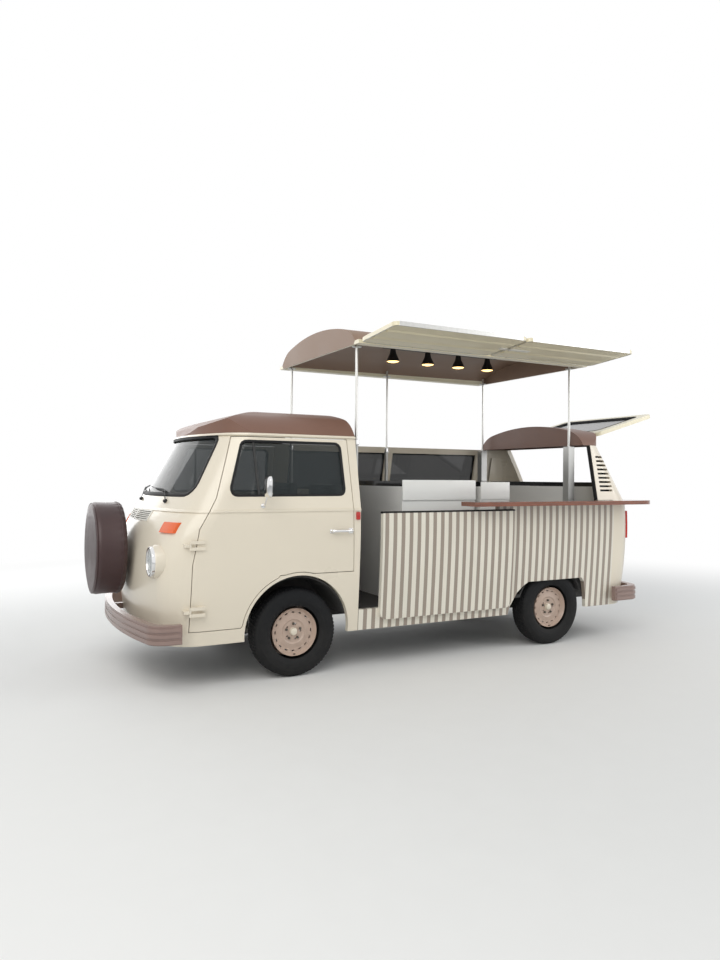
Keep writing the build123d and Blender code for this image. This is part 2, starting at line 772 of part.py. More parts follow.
# Posts and tubes that guide the roof poles
with BuildPart() as roof_posts:
    for x, y, foot in poles[:3]:
        with BuildSketch(Plane.XY.offset(foot)):
            with Locations((x, y)):
                Circle(tube_radius)
        extrude(amount=tube_top_z - foot)
    for x, y, foot in poles[3:]:
        add(block((x - post_side / 2, y - post_side / 2, foot), (x + post_side / 2, y + post_side / 2, tube_top_z)))
    bore_low_z = tube_top_z - pole_engagement - roof_drop - 15
    for x, y, foot in poles:
        with BuildSketch(Plane.XY.offset(bore_low_z)):
            with Locations((x, y)):
                Circle(pole_radius + tube_gap)
        extrude(amount=tube_top_z - bore_low_z, mode=Mode.SUBTRACT)
save(roof_posts.part, "roof_posts")

# Raised roof with its rails
raised_front_x = cab_rear_x - moving_gap
with BuildPart() as raised_ends:
    add(roof_outer)
    add(block((roof_cut_x + fascia_thickness, -1000, gutter_z - cut_margin),
              (raised_front_x - fascia_thickness, 1000, 2100)), mode=Mode.SUBTRACT)
    add(block((roof_cut_x, -1000, gutter_z + panel_gap), (raised_front_x, 1000, 2100)), mode=Mode.INTERSECT)
with BuildPart() as raised_skin:
    add(roof_wall.part)
    add(block((roof_cut_x, -1000, gutter_z + panel_gap), (raised_front_x, 1000, 2100)), mode=Mode.INTERSECT)
with BuildPart() as raised_roof:
    add(raised_skin.part)
    add(raised_ends.part)
    for side in (1, -1):
        rail_inner = side * (upper_sections[-1][2] - body_wall)
        rail_outer = side * (upper_sections[-1][2] + rail_width)
        add(block((roof_cut_x, min(rail_inner, rail_outer), gutter_z),
                  (raised_front_x, max(rail_inner, rail_outer), gutter_z + rail_height)))
    wing_hinge_drop_z = gutter_z + rail_height / 2
    for x in wing_lug_x:
        add(block((x - lug_width / 2, upper_sections[-1][2] + rail_width - 4, wing_hinge_drop_z - barrel_radius + 1),
                  (x + lug_width / 2, wing_hinge_y, wing_hinge_drop_z + barrel_radius - 1)))
        with BuildSketch(Plane.YZ.offset(x - lug_width / 2)):
            with Locations((wing_hinge_y, wing_hinge_drop_z)):
                Circle(barrel_radius)
        extrude(amount=lug_width)
        with BuildSketch(Plane.YZ.offset(x - lug_width)):
            with Locations((wing_hinge_y, wing_hinge_drop_z)):
                Circle(pin_radius + pin_gap)
        extrude(amount=2 * lug_width, mode=Mode.SUBTRACT)
raised_roof_part = raised_roof.part.moved(Location((0, 0, roof_lift)))
save(raised_roof_part, "raised_roof")

# Wings hinged on the raised roof's left rail, standing open
wing_dir = Vector(0, cos(radians(wing_tilt)), sin(radians(wing_tilt)))
wing_hinge_z = gutter_z + roof_lift + rail_height / 2
for name, front, rear in (("wing_front", wing_front_x, wing_split_x + wing_gap / 2),
                          ("wing_rear", wing_split_x - wing_gap / 2, wing_rear_x)):
    wing_plane = Plane(origin=((front + rear) / 2, wing_hinge_y, wing_hinge_z), x_dir=wing_dir,
                       z_dir=(0, -sin(radians(wing_tilt)), cos(radians(wing_tilt))))
    with BuildPart() as wing:
        with BuildSketch(wing_plane.offset(-wing_thickness / 2)):
            with Locations((wing_width / 2 + 3, 0)):
                RectangleRounded(wing_width - 6, front - rear, 40)
        extrude(amount=wing_thickness)
        lugs = [x for x in wing_lug_x if rear < x < front]
        with BuildSketch(Plane.YZ.offset(min(lugs) - 80)):
            with Locations((wing_hinge_y, wing_hinge_z)):
                Circle(barrel_radius)
        extrude(amount=max(lugs) - min(lugs) + 160)
        for x in lugs:
            half_notch = lug_width / 2 + lug_clearance
            add(block((x - half_notch, wing_hinge_y - 20, wing_hinge_z - 20),
                      (x + half_notch, wing_hinge_y + barrel_radius + 5, wing_hinge_z + 20)), mode=Mode.SUBTRACT)
            with BuildSketch(Plane.YZ.offset(x - half_notch - 5)):
                with Locations((wing_hinge_y, wing_hinge_z)):
                    Circle(pin_radius)
            extrude(amount=2 * half_notch + 10)
    save(wing.part, name)

# Poles that carry the raised roof
with BuildPart() as roof_poles:
    for x, y, foot in poles:
        with BuildSketch(Plane.XY.offset(tube_top_z - pole_engagement)):
            with Locations((x, y)):
                Circle(pole_radius)
        extrude(amount=gutter_z + roof_lift - tube_top_z + pole_engagement + 70)
    add(raised_roof_part, mode=Mode.SUBTRACT)
save(roof_poles.part, "roof_poles")

# Spot lamps hung on a bar under the raised roof
lamp_bar_z = 2590.0
# columns: x, y of each lamp on the bar
lamps = ((-1250.0, 0.0), (-1620.0, 0.0), (-1960.0, 0.0), (-2300.0, 0.0))
with BuildPart() as spot_lamps:
    add(block((-2400, -14, lamp_bar_z), (-1150, 14, roof_top_z + roof_lift - body_wall - panel_gap)))
    for x, y in lamps:
        with BuildSketch(Plane.XZ) as cone:
            with BuildLine():
                Polyline((0, lamp_bar_z + 4), (22, lamp_bar_z + 4), (30, lamp_bar_z - 40), (62, lamp_bar_z - 110),
                         (0, lamp_bar_z - 110), close=True)
            make_face()
        revolve(cone.sketch.moved(Location((x, y, 0))), axis=Axis((x, y, 0), (0, 0, 1)))
save(spot_lamps.part, "spot_lamps")

# Cab seats on their boxes
seat_y = 430.0
seat_half_width = 225.0
seat_box_half_width = 180.0
seat_box_height = 60.0
seat_cushion_height = 110.0
seat_front_x = 200.0
seat_rear_x = -340.0
seat_back_x = (-440.0, -320.0)
seat_back_top_z = 1400.0
house_top_z = wheel_z + house_front_radius + house_wall
cushion_low_z = house_top_z + seat_box_height
with BuildPart() as seats:
    for y in (seat_y, -seat_y):
        add(block((seat_rear_x + 10, y - seat_box_half_width, house_top_z),
                  (seat_front_x - 20, y + seat_box_half_width, cushion_low_z)))
        add(block((seat_rear_x, y - seat_half_width, cushion_low_z),
                  (seat_front_x, y + seat_half_width, cushion_low_z + seat_cushion_height)))
        add(block((seat_back_x[0], y - seat_half_width, cushion_low_z + seat_cushion_height - 20),
                  (seat_back_x[1], y + seat_half_width, seat_back_top_z)))
save(seats.part, "seats")

# Dashboard with the steering column and wheel
column_rake = 20.5
column_radius = 24.0
column_length = 120.0
steering_wheel_radius = 205.0
steering_wheel_rim = 23.0
steering_wheel_hub = 45.0
with BuildPart() as dashboard:
    add(block((620, -740, 1060), (860, 740, 1230)))
    add(hull(body_wall + panel_gap), mode=Mode.INTERSECT)
    column_plane = Plane(origin=(640, 400, 1100), z_dir=(-sin(radians(column_rake)), 0, cos(radians(column_rake))))
    with BuildSketch(column_plane):
        Circle(column_radius)
    extrude(amount=column_length)
    with BuildSketch(column_plane.offset(column_length - 10)):
        Circle(steering_wheel_radius)
        Circle(steering_wheel_radius - steering_wheel_rim, mode=Mode.SUBTRACT)
        Rectangle(2 * steering_wheel_radius - 30, 30)
        Circle(steering_wheel_hub)
    extrude(amount=22)
save(dashboard.part, "dashboard")

# Lamps: headlamps, indicators and tail lamps
lamp_proud = 14.0
indicator_y = 690.0
indicator_half = 75.0
tail_lamp_y = 745.0
tail_lamp_half = 60.0
with BuildPart() as lamp_places:
    for side in (1, -1):
        add(block((500, side * indicator_y - indicator_half, 1059),
                  (1300, side * indicator_y + indicator_half, 1129)))
        add(block((-3600, side * tail_lamp_y - tail_lamp_half, 900),
                  (-3000, side * tail_lamp_y + tail_lamp_half, 1150)))
with BuildPart() as lamps_set:
    add(hull(-lamp_proud))
    add(hull_clear, mode=Mode.SUBTRACT)
    add(lamp_places.part, mode=Mode.INTERSECT)
save(lamps_set.part, "lamps")

# Headlamps: round glasses that face straight forward
with BuildPart() as headlamps:
    for side in (1, -1):
        with BuildSketch(Plane.YZ.offset(880)):
            with Locations((side * headlamp_y, headlamp_z)):
                Circle(headlamp_radius)
        extrude(amount=130)
    fillet(edges().group_by(Axis.X)[-1], 16)
    add(hull_clear, mode=Mode.SUBTRACT)
save(headlamps.part, "headlamps")

# Spare wheel cover on the nose
with BuildPart() as spare_cover:
    with BuildSketch(Plane.XY) as spare_profile:
        with BuildLine():
            Polyline((1000, 0), (1000, 60), (spare_back_x, 60), (spare_back_x, spare_radius),
                     (spare_front_x - 60, spare_radius))
            TangentArc((spare_front_x - 60, spare_radius), (spare_front_x - 8, spare_radius - 60), tangent=(1, 0))
            Polyline((spare_front_x - 8, spare_radius - 60), (spare_front_x, 0), (1000, 0))
        make_face()
    revolve(axis=Axis.X)
with BuildPart() as spare_cover_seated:
    add(spare_cover.part.moved(Location((0, 0, spare_z))))
    add(hull_clear, mode=Mode.SUBTRACT)
save(spare_cover_seated.part, "spare_cover")


def bumper_band(nose, half, end_x, low_z, high_z, direction):
    """A bumper as a band round one end of the van, with a rounded plan."""
    with BuildPart() as band:
        with BuildSketch(Plane.XY.offset(low_z)):
            with BuildLine():
                ThreePointArc((nose - direction * 120, -half), (nose, 0), (nose - direction * 120, half))
                Line((nose - direction * 120, half), (end_x, half))
                Line((end_x, half), (end_x, -half))
                Line((end_x, -half), (nose - direction * 120, -half))
            make_face()
            fillet(vertices().sort_by(Axis.X if direction < 0 else Axis((0, 0, 0), (-1, 0, 0)))[:2], 130)
        extrude(amount=high_z - low_z)
    return band.part


# columns: foremost or rearmost x, end of the arms, direction
bumper_table = ((bumper_front_x, bumper_end_x, 1), (rear_bumper_x, rear_bumper_end_x, -1))
bracket_y = 400.0
with BuildPart() as bumpers:
    for nose, end_x, direction in bumper_table:
        add(bumper_band(nose, bumper_half_width, end_x, bumper_low_z, bumper_high_z, direction))
        for rib_z in bumper_rib_levels:
            add(bumper_band(nose + direction * bumper_rib_proud, bumper_half_width + bumper_rib_proud,
                            end_x + direction * 12, rib_z, rib_z + bumper_rib_height, direction))
    for nose, end_x, direction in bumper_table:
        add(bumper_band(nose - direction * bumper_wall, bumper_half_width - bumper_wall, end_x - direction * 60,
                        bumper_low_z - 1, bumper_high_z + 1, direction), mode=Mode.SUBTRACT)
    for nose, end_x, direction in bumper_table:
        near, far = sorted((nose - direction * 30, nose - direction * 200))
        for y in (-bracket_y, bracket_y):
            add(block((near, y - 20, 385), (far, y + 20, 430)))
    add(hull_clear, mode=Mode.SUBTRACT)
save(bumpers.part, "bumpers")

# Front axle: two cross tubes with trailing arms
fork_low_z = 212.0
fork_high_z = 424.0
fork_plate = 20.0
kingpin_radius = 12.0
kingpin_gap = 0.05
axle_tube_radius = 32.0
axle_tube_x = 170.0
axle_tube_levels = (262.0, 392.0)
with BuildPart() as front_axle:
    for z in axle_tube_levels:
        add(cylinder_y(axle_tube_x, z, axle_tube_radius, -420, 420))
    for side in (1, -1):
        add(side_block((100, 230), (400, 430), (230, fork_high_z), side))
        for z in axle_tube_levels:
            add(side_block((-30, 200), (430, 465), (z - 18, z + 18), side))
        add(side_block((-30, 30), (430, 480), (fork_low_z, fork_high_z), side))
        for low in (fork_low_z, fork_high_z - fork_plate):
            add(side_block((-30, 30), (470, 620), (low, low + fork_plate), side))
        add(bar_z(0, side * kingpin_y, kingpin_radius + kingpin_gap, fork_low_z - 1, fork_high_z + 1),
            mode=Mode.SUBTRACT)
    for y in (-300, 300):
        add(block((120, y - 20, axle_tube_levels[1]), (220, y + 20, floor_low_z)))
save(front_axle.part, "front_axle")

# Steering knuckles with their kingpins and stub axles
for side, hand in ((1, "left"), (-1, "right")):
    with BuildPart() as knuckle:
        add(block((-28, side * kingpin_y - 25, fork_low_z + fork_plate + 1),
                  (28, side * kingpin_y + 25, fork_high_z - fork_plate - 1)))
        add(bar_z(0, side * kingpin_y, kingpin_radius, fork_low_z, fork_high_z))
        add(cylinder_y(0, wheel_z, stub_radius, side * kingpin_y, side * (track_front / 2 + stub_reach)))
    save(knuckle.part, f"knuckle_{hand}")

# Rear axle: transaxle, drive shafts and trailing arms
transaxle_front_x = -2160.0
transaxle_half_width = 130.0
arm_pivot_x = -1900.0
arm_pivot_z = 299.7
with BuildPart() as rear_axle:
    add(block((engine_deck_x - 4, -transaxle_half_width, 240), (transaxle_front_x, transaxle_half_width, floor_low_z)))
    add(cylinder_y(-wheelbase, wheel_z, axle_tube_radius, -track_rear / 2 + 115, track_rear / 2 - 115))
    for side in (1, -1):
        add(cylinder_y(-wheelbase, wheel_z, stub_radius, side * 500, side * (track_rear / 2 + stub_reach)))
        add(side_block((-2420, arm_pivot_x + 20), (470, 520), (290, 339.7), side))
    add(cylinder_y(arm_pivot_x, arm_pivot_z, 40, -520, 520))
save(rear_axle.part, "rear_axle")

# Engine block under the deck
engine_rear_x = -3240.0
engine_half_width = 380.0
with BuildPart() as engine:
    add(block((engine_rear_x, -engine_half_width, 300), (engine_deck_x - 4 - panel_gap, engine_half_width, 760)))
save(engine.part, "engine")

# Wheels and tyres
# columns: name, hub x, side, half track
wheel_table = (
    ("front_left", 0.0, 1, track_front / 2),
    ("front_right", 0.0, -1, track_front / 2),
    ("rear_left", -wheelbase, 1, track_rear / 2),
    ("rear_right", -wheelbase, -1, track_rear / 2),
)
with BuildPart() as wheel_blank:
    with BuildSketch(Plane.XY) as wheel_profile:
        with BuildLine():
            Polyline((-rim_half_width, rim_lip_radius), (-64, rim_lip_radius), (-64, rim_seat_radius),
                     (-30, rim_well_radius), (20, rim_well_radius), (50, rim_seat_radius), (64, rim_seat_radius),
                     (64, rim_lip_radius), (rim_half_width, rim_lip_radius), (rim_half_width, rim_lip_radius - 12),
                     (52, 166), (disc_face, 154), (disc_face, 125), (38, 90), (disc_face, 78),
                     (disc_face, stub_radius + stub_gap), (disc_face - disc_sheet - 2, stub_radius + stub_gap),
                     (disc_face - disc_sheet - 2, 84), (24, 92), (disc_face - disc_sheet, 125),
                     (disc_face - disc_sheet, 154), (-36, 154), (-rim_half_width, 167), close=True)
        make_face()
    revolve(axis=Axis.X)
    with BuildSketch(Plane.YZ.offset(-100)):
        with PolarLocations(bolt_circle_radius, bolt_count):
            Circle(bolt_hole_radius)
        with PolarLocations(vent_circle_radius, vent_count):
            SlotOverall(vent_length, vent_width, rotation=90)
    extrude(amount=200, mode=Mode.SUBTRACT)
bead_radius = rim_lip_radius + panel_gap
shoulder_radius = 298.0
tread_half_width = 66.0
with BuildPart() as tyre_blank:
    with BuildSketch(Plane.XY) as tyre_profile:
        with BuildLine():
            ThreePointArc((-rim_half_width, bead_radius), (-tyre_width / 2, 240), (-78, shoulder_radius))
            Polyline((-78, shoulder_radius), (-tread_half_width, 314), (0, tyre_radius), (tread_half_width, 314),
                     (78, shoulder_radius))
            ThreePointArc((78, shoulder_radius), (tyre_width / 2, 240), (rim_half_width, bead_radius))
            Line((rim_half_width, bead_radius), (-rim_half_width, bead_radius))
        make_face()
    revolve(axis=Axis.X)

for name, hub_x, side, half_track in wheel_table:
    place = Location((hub_x, side * half_track, wheel_z)) * Location((0, 0, 0), (0, 0, side * 90))
    save(wheel_blank.part.moved(place), f"wheel_{name}")
    save(tyre_blank.part.moved(place), f"tyre_{name}")
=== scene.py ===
# %% [markdown]
# # A street food van, dressed over its solid model
# The van is a rear-engined delivery van whose roof lifts on poles over a small galley.
# Its solid model gives the true places and sizes, so the first step loads it as a fixed
# frame. Every later surface is measured from that frame and never moves it.

# %% Load the frame
from math import cos, pi, radians, sin

import bmesh
import bpy
import numpy as np
from mathutils import Matrix, Vector
from mathutils.bvhtree import BVHTree


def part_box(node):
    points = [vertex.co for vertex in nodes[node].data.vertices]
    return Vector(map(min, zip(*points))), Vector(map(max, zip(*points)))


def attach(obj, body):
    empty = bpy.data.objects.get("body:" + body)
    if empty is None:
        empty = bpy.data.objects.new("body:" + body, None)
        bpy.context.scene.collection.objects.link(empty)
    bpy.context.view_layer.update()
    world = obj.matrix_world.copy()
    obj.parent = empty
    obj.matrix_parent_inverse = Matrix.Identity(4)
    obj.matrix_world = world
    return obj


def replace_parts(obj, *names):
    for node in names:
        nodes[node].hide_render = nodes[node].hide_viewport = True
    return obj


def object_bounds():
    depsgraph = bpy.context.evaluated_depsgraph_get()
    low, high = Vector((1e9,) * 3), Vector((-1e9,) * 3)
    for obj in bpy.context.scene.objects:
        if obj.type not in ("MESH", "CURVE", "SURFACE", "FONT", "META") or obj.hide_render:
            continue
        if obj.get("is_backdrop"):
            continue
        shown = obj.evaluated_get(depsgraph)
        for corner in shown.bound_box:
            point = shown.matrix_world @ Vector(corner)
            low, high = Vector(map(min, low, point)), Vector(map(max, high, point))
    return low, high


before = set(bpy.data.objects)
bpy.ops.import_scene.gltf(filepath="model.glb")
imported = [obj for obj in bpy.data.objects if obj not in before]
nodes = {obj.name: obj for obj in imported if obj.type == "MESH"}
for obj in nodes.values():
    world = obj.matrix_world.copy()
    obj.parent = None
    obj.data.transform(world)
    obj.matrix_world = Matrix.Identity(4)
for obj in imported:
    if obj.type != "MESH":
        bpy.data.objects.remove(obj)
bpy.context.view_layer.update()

# %% [markdown]
# ## The van's own places
# The frame's origin is the middle of the whole outline, wings and open tailgate included. A
# coach builder measures from the front axle and the van's middle line instead, so one
# function turns such a place, in millimetres, into the frame's metres, and one turns it back.

# %% Places measured from the front axle
sides = ((1, "left"), (-1, "right"))
wheel_corners = ("front_left", "front_right", "rear_left", "rear_right")


def middle(node):
    """Centre of a node's box."""
    low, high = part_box(node)
    return np.array((low + high) / 2)


axle_x = middle("tyre_front_left")[0]
middle_y = (middle("tyre_front_left")[1] + middle("tyre_front_right")[1]) / 2


def van(x, y, z):
    """Millimetres from the front axle, the middle line and the ground, as frame metres; arrays too."""
    x, y, z = np.broadcast_arrays(np.asarray(x, float), y, z)
    return np.stack([x / 1000 + axle_x, y / 1000 + middle_y, z / 1000], -1)


def from_frame(metres):
    """The way back: frame metres less the axle's place, as millimetres."""
    return (metres - np.array([axle_x, middle_y, 0])) * 1000


print("front axle at x", round(axle_x, 4), "middle line at y", round(middle_y, 4))

# %% [markdown]
# ## Camera
# The photograph was taken from two metres ahead of the front axle and 5.6 m out on the
# serving side, with the eye level with the door windows. The lens is given by its focal
# length in pixels over the long side of the picture, which Blender turns into millimetres
# with a 36 mm sensor.

# %% Camera
eye = (2044.0, 5608.9, 1435.1)
yaw, pitch, roll = radians(-27.898), radians(-0.148), radians(0.424)
focal_pixels, picture_height, sensor = 726.5, 960, 36.0
ahead = Vector((sin(yaw) * cos(pitch), -cos(yaw) * cos(pitch), sin(pitch)))
level_right = ahead.cross(Vector((0, 0, 1))).normalized()
level_up = level_right.cross(ahead)
right = level_right * cos(roll) + level_up * sin(roll)
up = level_up * cos(roll) - level_right * sin(roll)
camera = bpy.data.objects.new("camera", bpy.data.cameras.new("camera"))
bpy.context.scene.collection.objects.link(camera)
turn = Matrix((right, up, -ahead)).transposed().to_4x4()
camera.matrix_world = Matrix.Translation(Vector(van(*eye))) @ turn
camera.data.sensor_width = sensor
camera.data.lens = focal_pixels * sensor / picture_height
bpy.context.scene.camera = camera
bpy.context.scene.view_settings.view_transform = "Standard"
print("lens", round(camera.data.lens, 2), "mm")

# %% [markdown]
# ## Sky, lamps and floor
# A plain pale floor keeps the van's shadow. The sky is soft and even, and looks white to
# the camera, to mirrors and through glass only. One broad lamp stands for the sun over the
# photographer's left shoulder, and two dimmer ones fill the tail and the far side.

# %% Sky
def node_tree(owner):
    """Empty node tree of a material or world, ready to be filled."""
    owner.use_nodes = True
    owner.node_tree.nodes.clear()
    return owner.node_tree


sky_strength, sky_tint = 0.52, (0.93, 0.97, 1.0, 1)
world = bpy.data.worlds.new("soft_sky")
bpy.context.scene.world = world
tree = node_tree(world)
link, add = tree.links.new, tree.nodes.new
sky_seen, sky_light = add("ShaderNodeBackground"), add("ShaderNodeBackground")
sky_seen.inputs["Strength"].default_value = 1.0
sky_seen.inputs["Color"].default_value = (1, 1, 1, 1)
sky_light.inputs["Strength"].default_value = sky_strength
sky_light.inputs["Color"].default_value = sky_tint
ray, seen, through = add("ShaderNodeLightPath"), add("ShaderNodeMath"), add("ShaderNodeMath")
seen.operation = through.operation = "MAXIMUM"
link(ray.outputs["Is Camera Ray"], seen.inputs[0])
link(ray.outputs["Is Glossy Ray"], through.inputs[0])
link(ray.outputs["Is Transmission Ray"], through.inputs[1])
link(through.outputs[0], seen.inputs[1])
mix, out = add("ShaderNodeMixShader"), add("ShaderNodeOutputWorld")
link(seen.outputs[0], mix.inputs["Fac"])
link(sky_light.outputs[0], mix.inputs[1])
link(sky_seen.outputs[0], mix.inputs[2])
link(mix.outputs[0], out.inputs["Surface"])
print("sky strength on the van:", sky_strength)


# %% Lamps
def lamp(name, place, target, size, watts, tint=(1, 1, 1)):
    """A square soft lamp at one place, pointed at another, its size in metres."""
    data = bpy.data.lights.new(name, "AREA")
    data.size, data.energy, data.color = size, watts, tint
    thing = bpy.data.objects.new(name, data)
    bpy.context.scene.collection.objects.link(thing)
    place, target = Vector(van(*place)), Vector(van(*target))
    thing.location = place
    thing.rotation_euler = (target - place).to_track_quat("-Z", "Y").to_euler()


lamp("sun_side", (4200, 5200, 6200), (-800, 0, 800), 6.5, 340, (1.0, 0.97, 0.92))
lamp("tail_fill", (-6500, 3800, 3500), (-2500, 0, 900), 4.0, 120)
lamp("far_fill", (1500, -6200, 3200), (-800, 0, 900), 5.0, 150)
print("lamps:", sum(light.type == "AREA" for light in bpy.data.lights))

# %% Floor
half_floor = 30.0
floor_corners = [(x * half_floor, y * half_floor, 0) for x, y in ((-1, -1), (1, -1), (1, 1), (-1, 1))]
floor = bpy.data.objects.new("pale_floor", bpy.data.meshes.new("pale_floor"))
floor.data.from_pydata(floor_corners, [], [(0, 1, 2, 3)])
bpy.context.scene.collection.objects.link(floor)
floor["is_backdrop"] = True
print("floor:", 2 * half_floor, "m")

# %% [markdown]
# ## Finishes
# Real paint is never one flat colour: it is a little mottled, a little wavy in the gloss,
# and dusty low down. Each finish is one Principled shader whose colour, roughness and bump
# come from noise on Object coordinates, which on a piece at the origin are metres.

# %% A helper that makes one finish
finishes = {}
tone_ends = (0.22, 0.78)
gloss_ends = (0.2, 0.8)
dust_colour, dust_from, dust_full = (0.33, 0.29, 0.22, 1), 0.75, 0.25
bump_height, coat_rough = 0.001, 0.06


def map_range(tree, source, low, high, new_low, new_high):
    """Straight line through two points: low becomes new low, high new high, and nothing goes past them."""
    node = tree.nodes.new("ShaderNodeMapRange")
    for socket, value in zip(node.inputs[1:5], (low, high, new_low, new_high)):
        socket.default_value = value
    tree.links.new(source, node.inputs[0])
    return node


def make_finish(name, colour, rough=0.5, metal=0.0, coat=0.0, mottle=0.06, mottle_scale=6.0,
                grain=0.0, grain_scale=400.0, alpha=1.0, stretch=(1, 1, 1), dust=0.0, gloss=0.5):
    """Principled finish: noise shades the colour, a finer noise bumps it, dust greys it near the ground."""
    material = bpy.data.materials.new(name)
    tree = node_tree(material)
    link, add = tree.links.new, tree.nodes.new
    shader, output = add("ShaderNodeBsdfPrincipled"), add("ShaderNodeOutputMaterial")
    place, scale = add("ShaderNodeTexCoord"), add("ShaderNodeMapping")
    cloud, shade = add("ShaderNodeTexNoise"), add("ShaderNodeValToRGB")
    scale.inputs["Scale"].default_value = stretch
    link(place.outputs["Object"], scale.inputs["Vector"])
    cloud.inputs["Scale"].default_value = mottle_scale
    cloud.inputs["Detail"].default_value = 5
    link(scale.outputs["Vector"], cloud.inputs["Vector"])
    tones = [c * (1 - mottle) for c in colour], [min(1, c * (1 + mottle)) for c in colour]
    for element, position, tone in zip(shade.color_ramp.elements, tone_ends, tones):
        element.position, element.color = position, (*tone, 1)
    link(cloud.outputs["Fac"], shade.inputs["Fac"])
    colour_out = shade.outputs["Color"]
    if dust:
        split, specks, dusty = add("ShaderNodeSeparateXYZ"), add("ShaderNodeMath"), add("ShaderNodeMix")
        link(place.outputs["Object"], split.inputs[0])
        fade = map_range(tree, split.outputs["Z"], dust_from, dust_full, 0.0, dust)
        specks.operation, dusty.data_type = "MULTIPLY", "RGBA"
        link(fade.outputs[0], specks.inputs[0])
        link(cloud.outputs["Fac"], specks.inputs[1])
        dusty.inputs["B"].default_value = dust_colour
        link(specks.outputs[0], dusty.inputs["Factor"])
        link(colour_out, dusty.inputs["A"])
        colour_out = dusty.outputs["Result"]
    link(colour_out, shader.inputs["Base Color"])
    sheen = map_range(tree, cloud.outputs["Fac"], *gloss_ends, rough * 0.85, min(1, rough * 1.15))
    link(sheen.outputs[0], shader.inputs["Roughness"])
    if grain:
        fine, bump = add("ShaderNodeTexNoise"), add("ShaderNodeBump")
        fine.inputs["Scale"].default_value = grain_scale
        fine.inputs["Detail"].default_value = 3
        bump.inputs["Strength"].default_value = grain
        bump.inputs["Distance"].default_value = bump_height
        link(scale.outputs["Vector"], fine.inputs["Vector"])
        link(fine.outputs["Fac"], bump.inputs["Height"])
        link(bump.outputs["Normal"], shader.inputs["Normal"])
    for socket, value in (("Metallic", metal), ("Coat Weight", coat), ("Coat Roughness", coat_rough),
                          ("Specular IOR Level", gloss), ("Alpha", alpha)):
        shader.inputs[socket].default_value = value
    link(shader.outputs[0], output.inputs["Surface"])
    finishes[name] = material
    return tree, shader, shade, place


print("colour noise runs over", tone_ends, "and dust from", dust_from, "m down")

# %% Enamels
make_finish("cream_enamel", (0.78, 0.71, 0.585), rough=0.3, coat=0.45, mottle=0.012, mottle_scale=1.3,
            grain=0.03, grain_scale=90, dust=0.22)
make_finish("brown_enamel", (0.215, 0.120, 0.090), rough=0.42, gloss=0.28, mottle_scale=4,
            grain=0.03, grain_scale=90)
make_finish("taupe_enamel", (0.290, 0.195, 0.140), rough=0.48, gloss=0.28, mottle=0.05, mottle_scale=4,
            grain=0.03, grain_scale=90)
make_finish("mauve_enamel", (0.270, 0.180, 0.160), rough=0.38, coat=0.3, mottle=0.08, mottle_scale=9,
            grain=0.05, dust=0.25)
make_finish("rim_enamel", (0.50, 0.375, 0.305), rough=0.4, coat=0.2, mottle=0.10, mottle_scale=14,
            grain=0.05, dust=0.2)
# The wings and lifting roof are cream like the body. The extra yellow in this colour is painted light,
# bounced up from the ground below.
make_finish("wing_cream_painted_bounce", (0.80, 0.73, 0.53), rough=0.35, coat=0.3, mottle=0.03, mottle_scale=4,
            grain=0.03, grain_scale=90)
make_finish("post_enamel", (0.40, 0.40, 0.39), rough=0.32, metal=0.7, grain=0.05, stretch=(1, 1, 0.08))
make_finish("lamp_black", (0.012, 0.012, 0.012), rough=0.45, mottle=0.2, grain=0.15)
make_finish("chassis_black", (0.02, 0.02, 0.02), mottle=0.3, mottle_scale=25, grain=0.2, dust=0.4)
print("enamels:", len(finishes))

# %% Boards, rubber and vinyl
make_finish("underseal", (0.045, 0.043, 0.042), rough=0.85, mottle=0.3, mottle_scale=30,
            grain=0.5, grain_scale=260)
make_finish("white_board", (0.78, 0.78, 0.76), rough=0.35, coat=0.25, mottle=0.02, mottle_scale=3,
            grain=0.05, grain_scale=700)
make_finish("black_laminate", (0.012, 0.012, 0.013), rough=0.12, coat=0.5, mottle=0.3, mottle_scale=60)
make_finish("white_plastic", (0.74, 0.72, 0.66), rough=0.45, mottle=0.04, grain=0.1)
make_finish("black_plastic", (0.015, 0.015, 0.015), mottle=0.15, grain=0.3, grain_scale=900)
make_finish("black_rubber", (0.008, 0.008, 0.009), rough=0.6, gloss=0.3, mottle=0.15,
            grain=0.2, grain_scale=700)
make_finish("tyre_rubber", (0.007, 0.008, 0.010), rough=0.7, mottle=0.25, mottle_scale=20,
            grain=0.35, grain_scale=350, dust=0.05, gloss=0.2)
# The spare cover is dark red-brown vinyl, made darker still by painted shade for the shadow it lies in.
make_finish("cover_vinyl", (0.046, 0.020, 0.020), rough=0.45, coat=0.08, mottle=0.12, mottle_scale=8,
            grain=0.35, grain_scale=420)
make_finish("seat_vinyl", (0.024, 0.022, 0.021), mottle=0.12, grain=0.18, grain_scale=700, gloss=0.4)
print("with boards, rubber and vinyl:", len(finishes))

# %% Metal, lenses and glass
make_finish("cast_metal", (0.11, 0.11, 0.11), rough=0.6, metal=0.6, mottle=0.25, mottle_scale=30, grain=0.5)
make_finish("brushed_steel", (0.62, 0.62, 0.60), rough=0.3, metal=1.0, mottle=0.05, mottle_scale=40,
            grain=0.15, stretch=(1, 1, 0.06))
make_finish("chrome", (0.82, 0.82, 0.82), rough=0.08, metal=1.0, mottle=0.03)
make_finish("reflector", (0.80, 0.80, 0.78), rough=0.15, metal=1.0, mottle=0.03)
make_finish("amber_lens", (0.82, 0.13, 0.02), rough=0.15, coat=0.5, mottle=0.05, grain=0.2)
make_finish("red_lens", (0.50, 0.02, 0.015), rough=0.15, coat=0.5, mottle=0.05, grain=0.2)
make_finish("clear_lens", (0.80, 0.84, 0.85), rough=0.1, coat=0.6, mottle=0.05, alpha=0.35)
make_finish("door_glass", (0.020, 0.028, 0.030), rough=0.03, mottle=0.1, alpha=0.58, gloss=0.35)
make_finish("tinted_glass", (0.018, 0.020, 0.021), rough=0.04, mottle=0.1, alpha=0.78, gloss=0.4)
print("with metal, lenses and glass:", len(finishes))

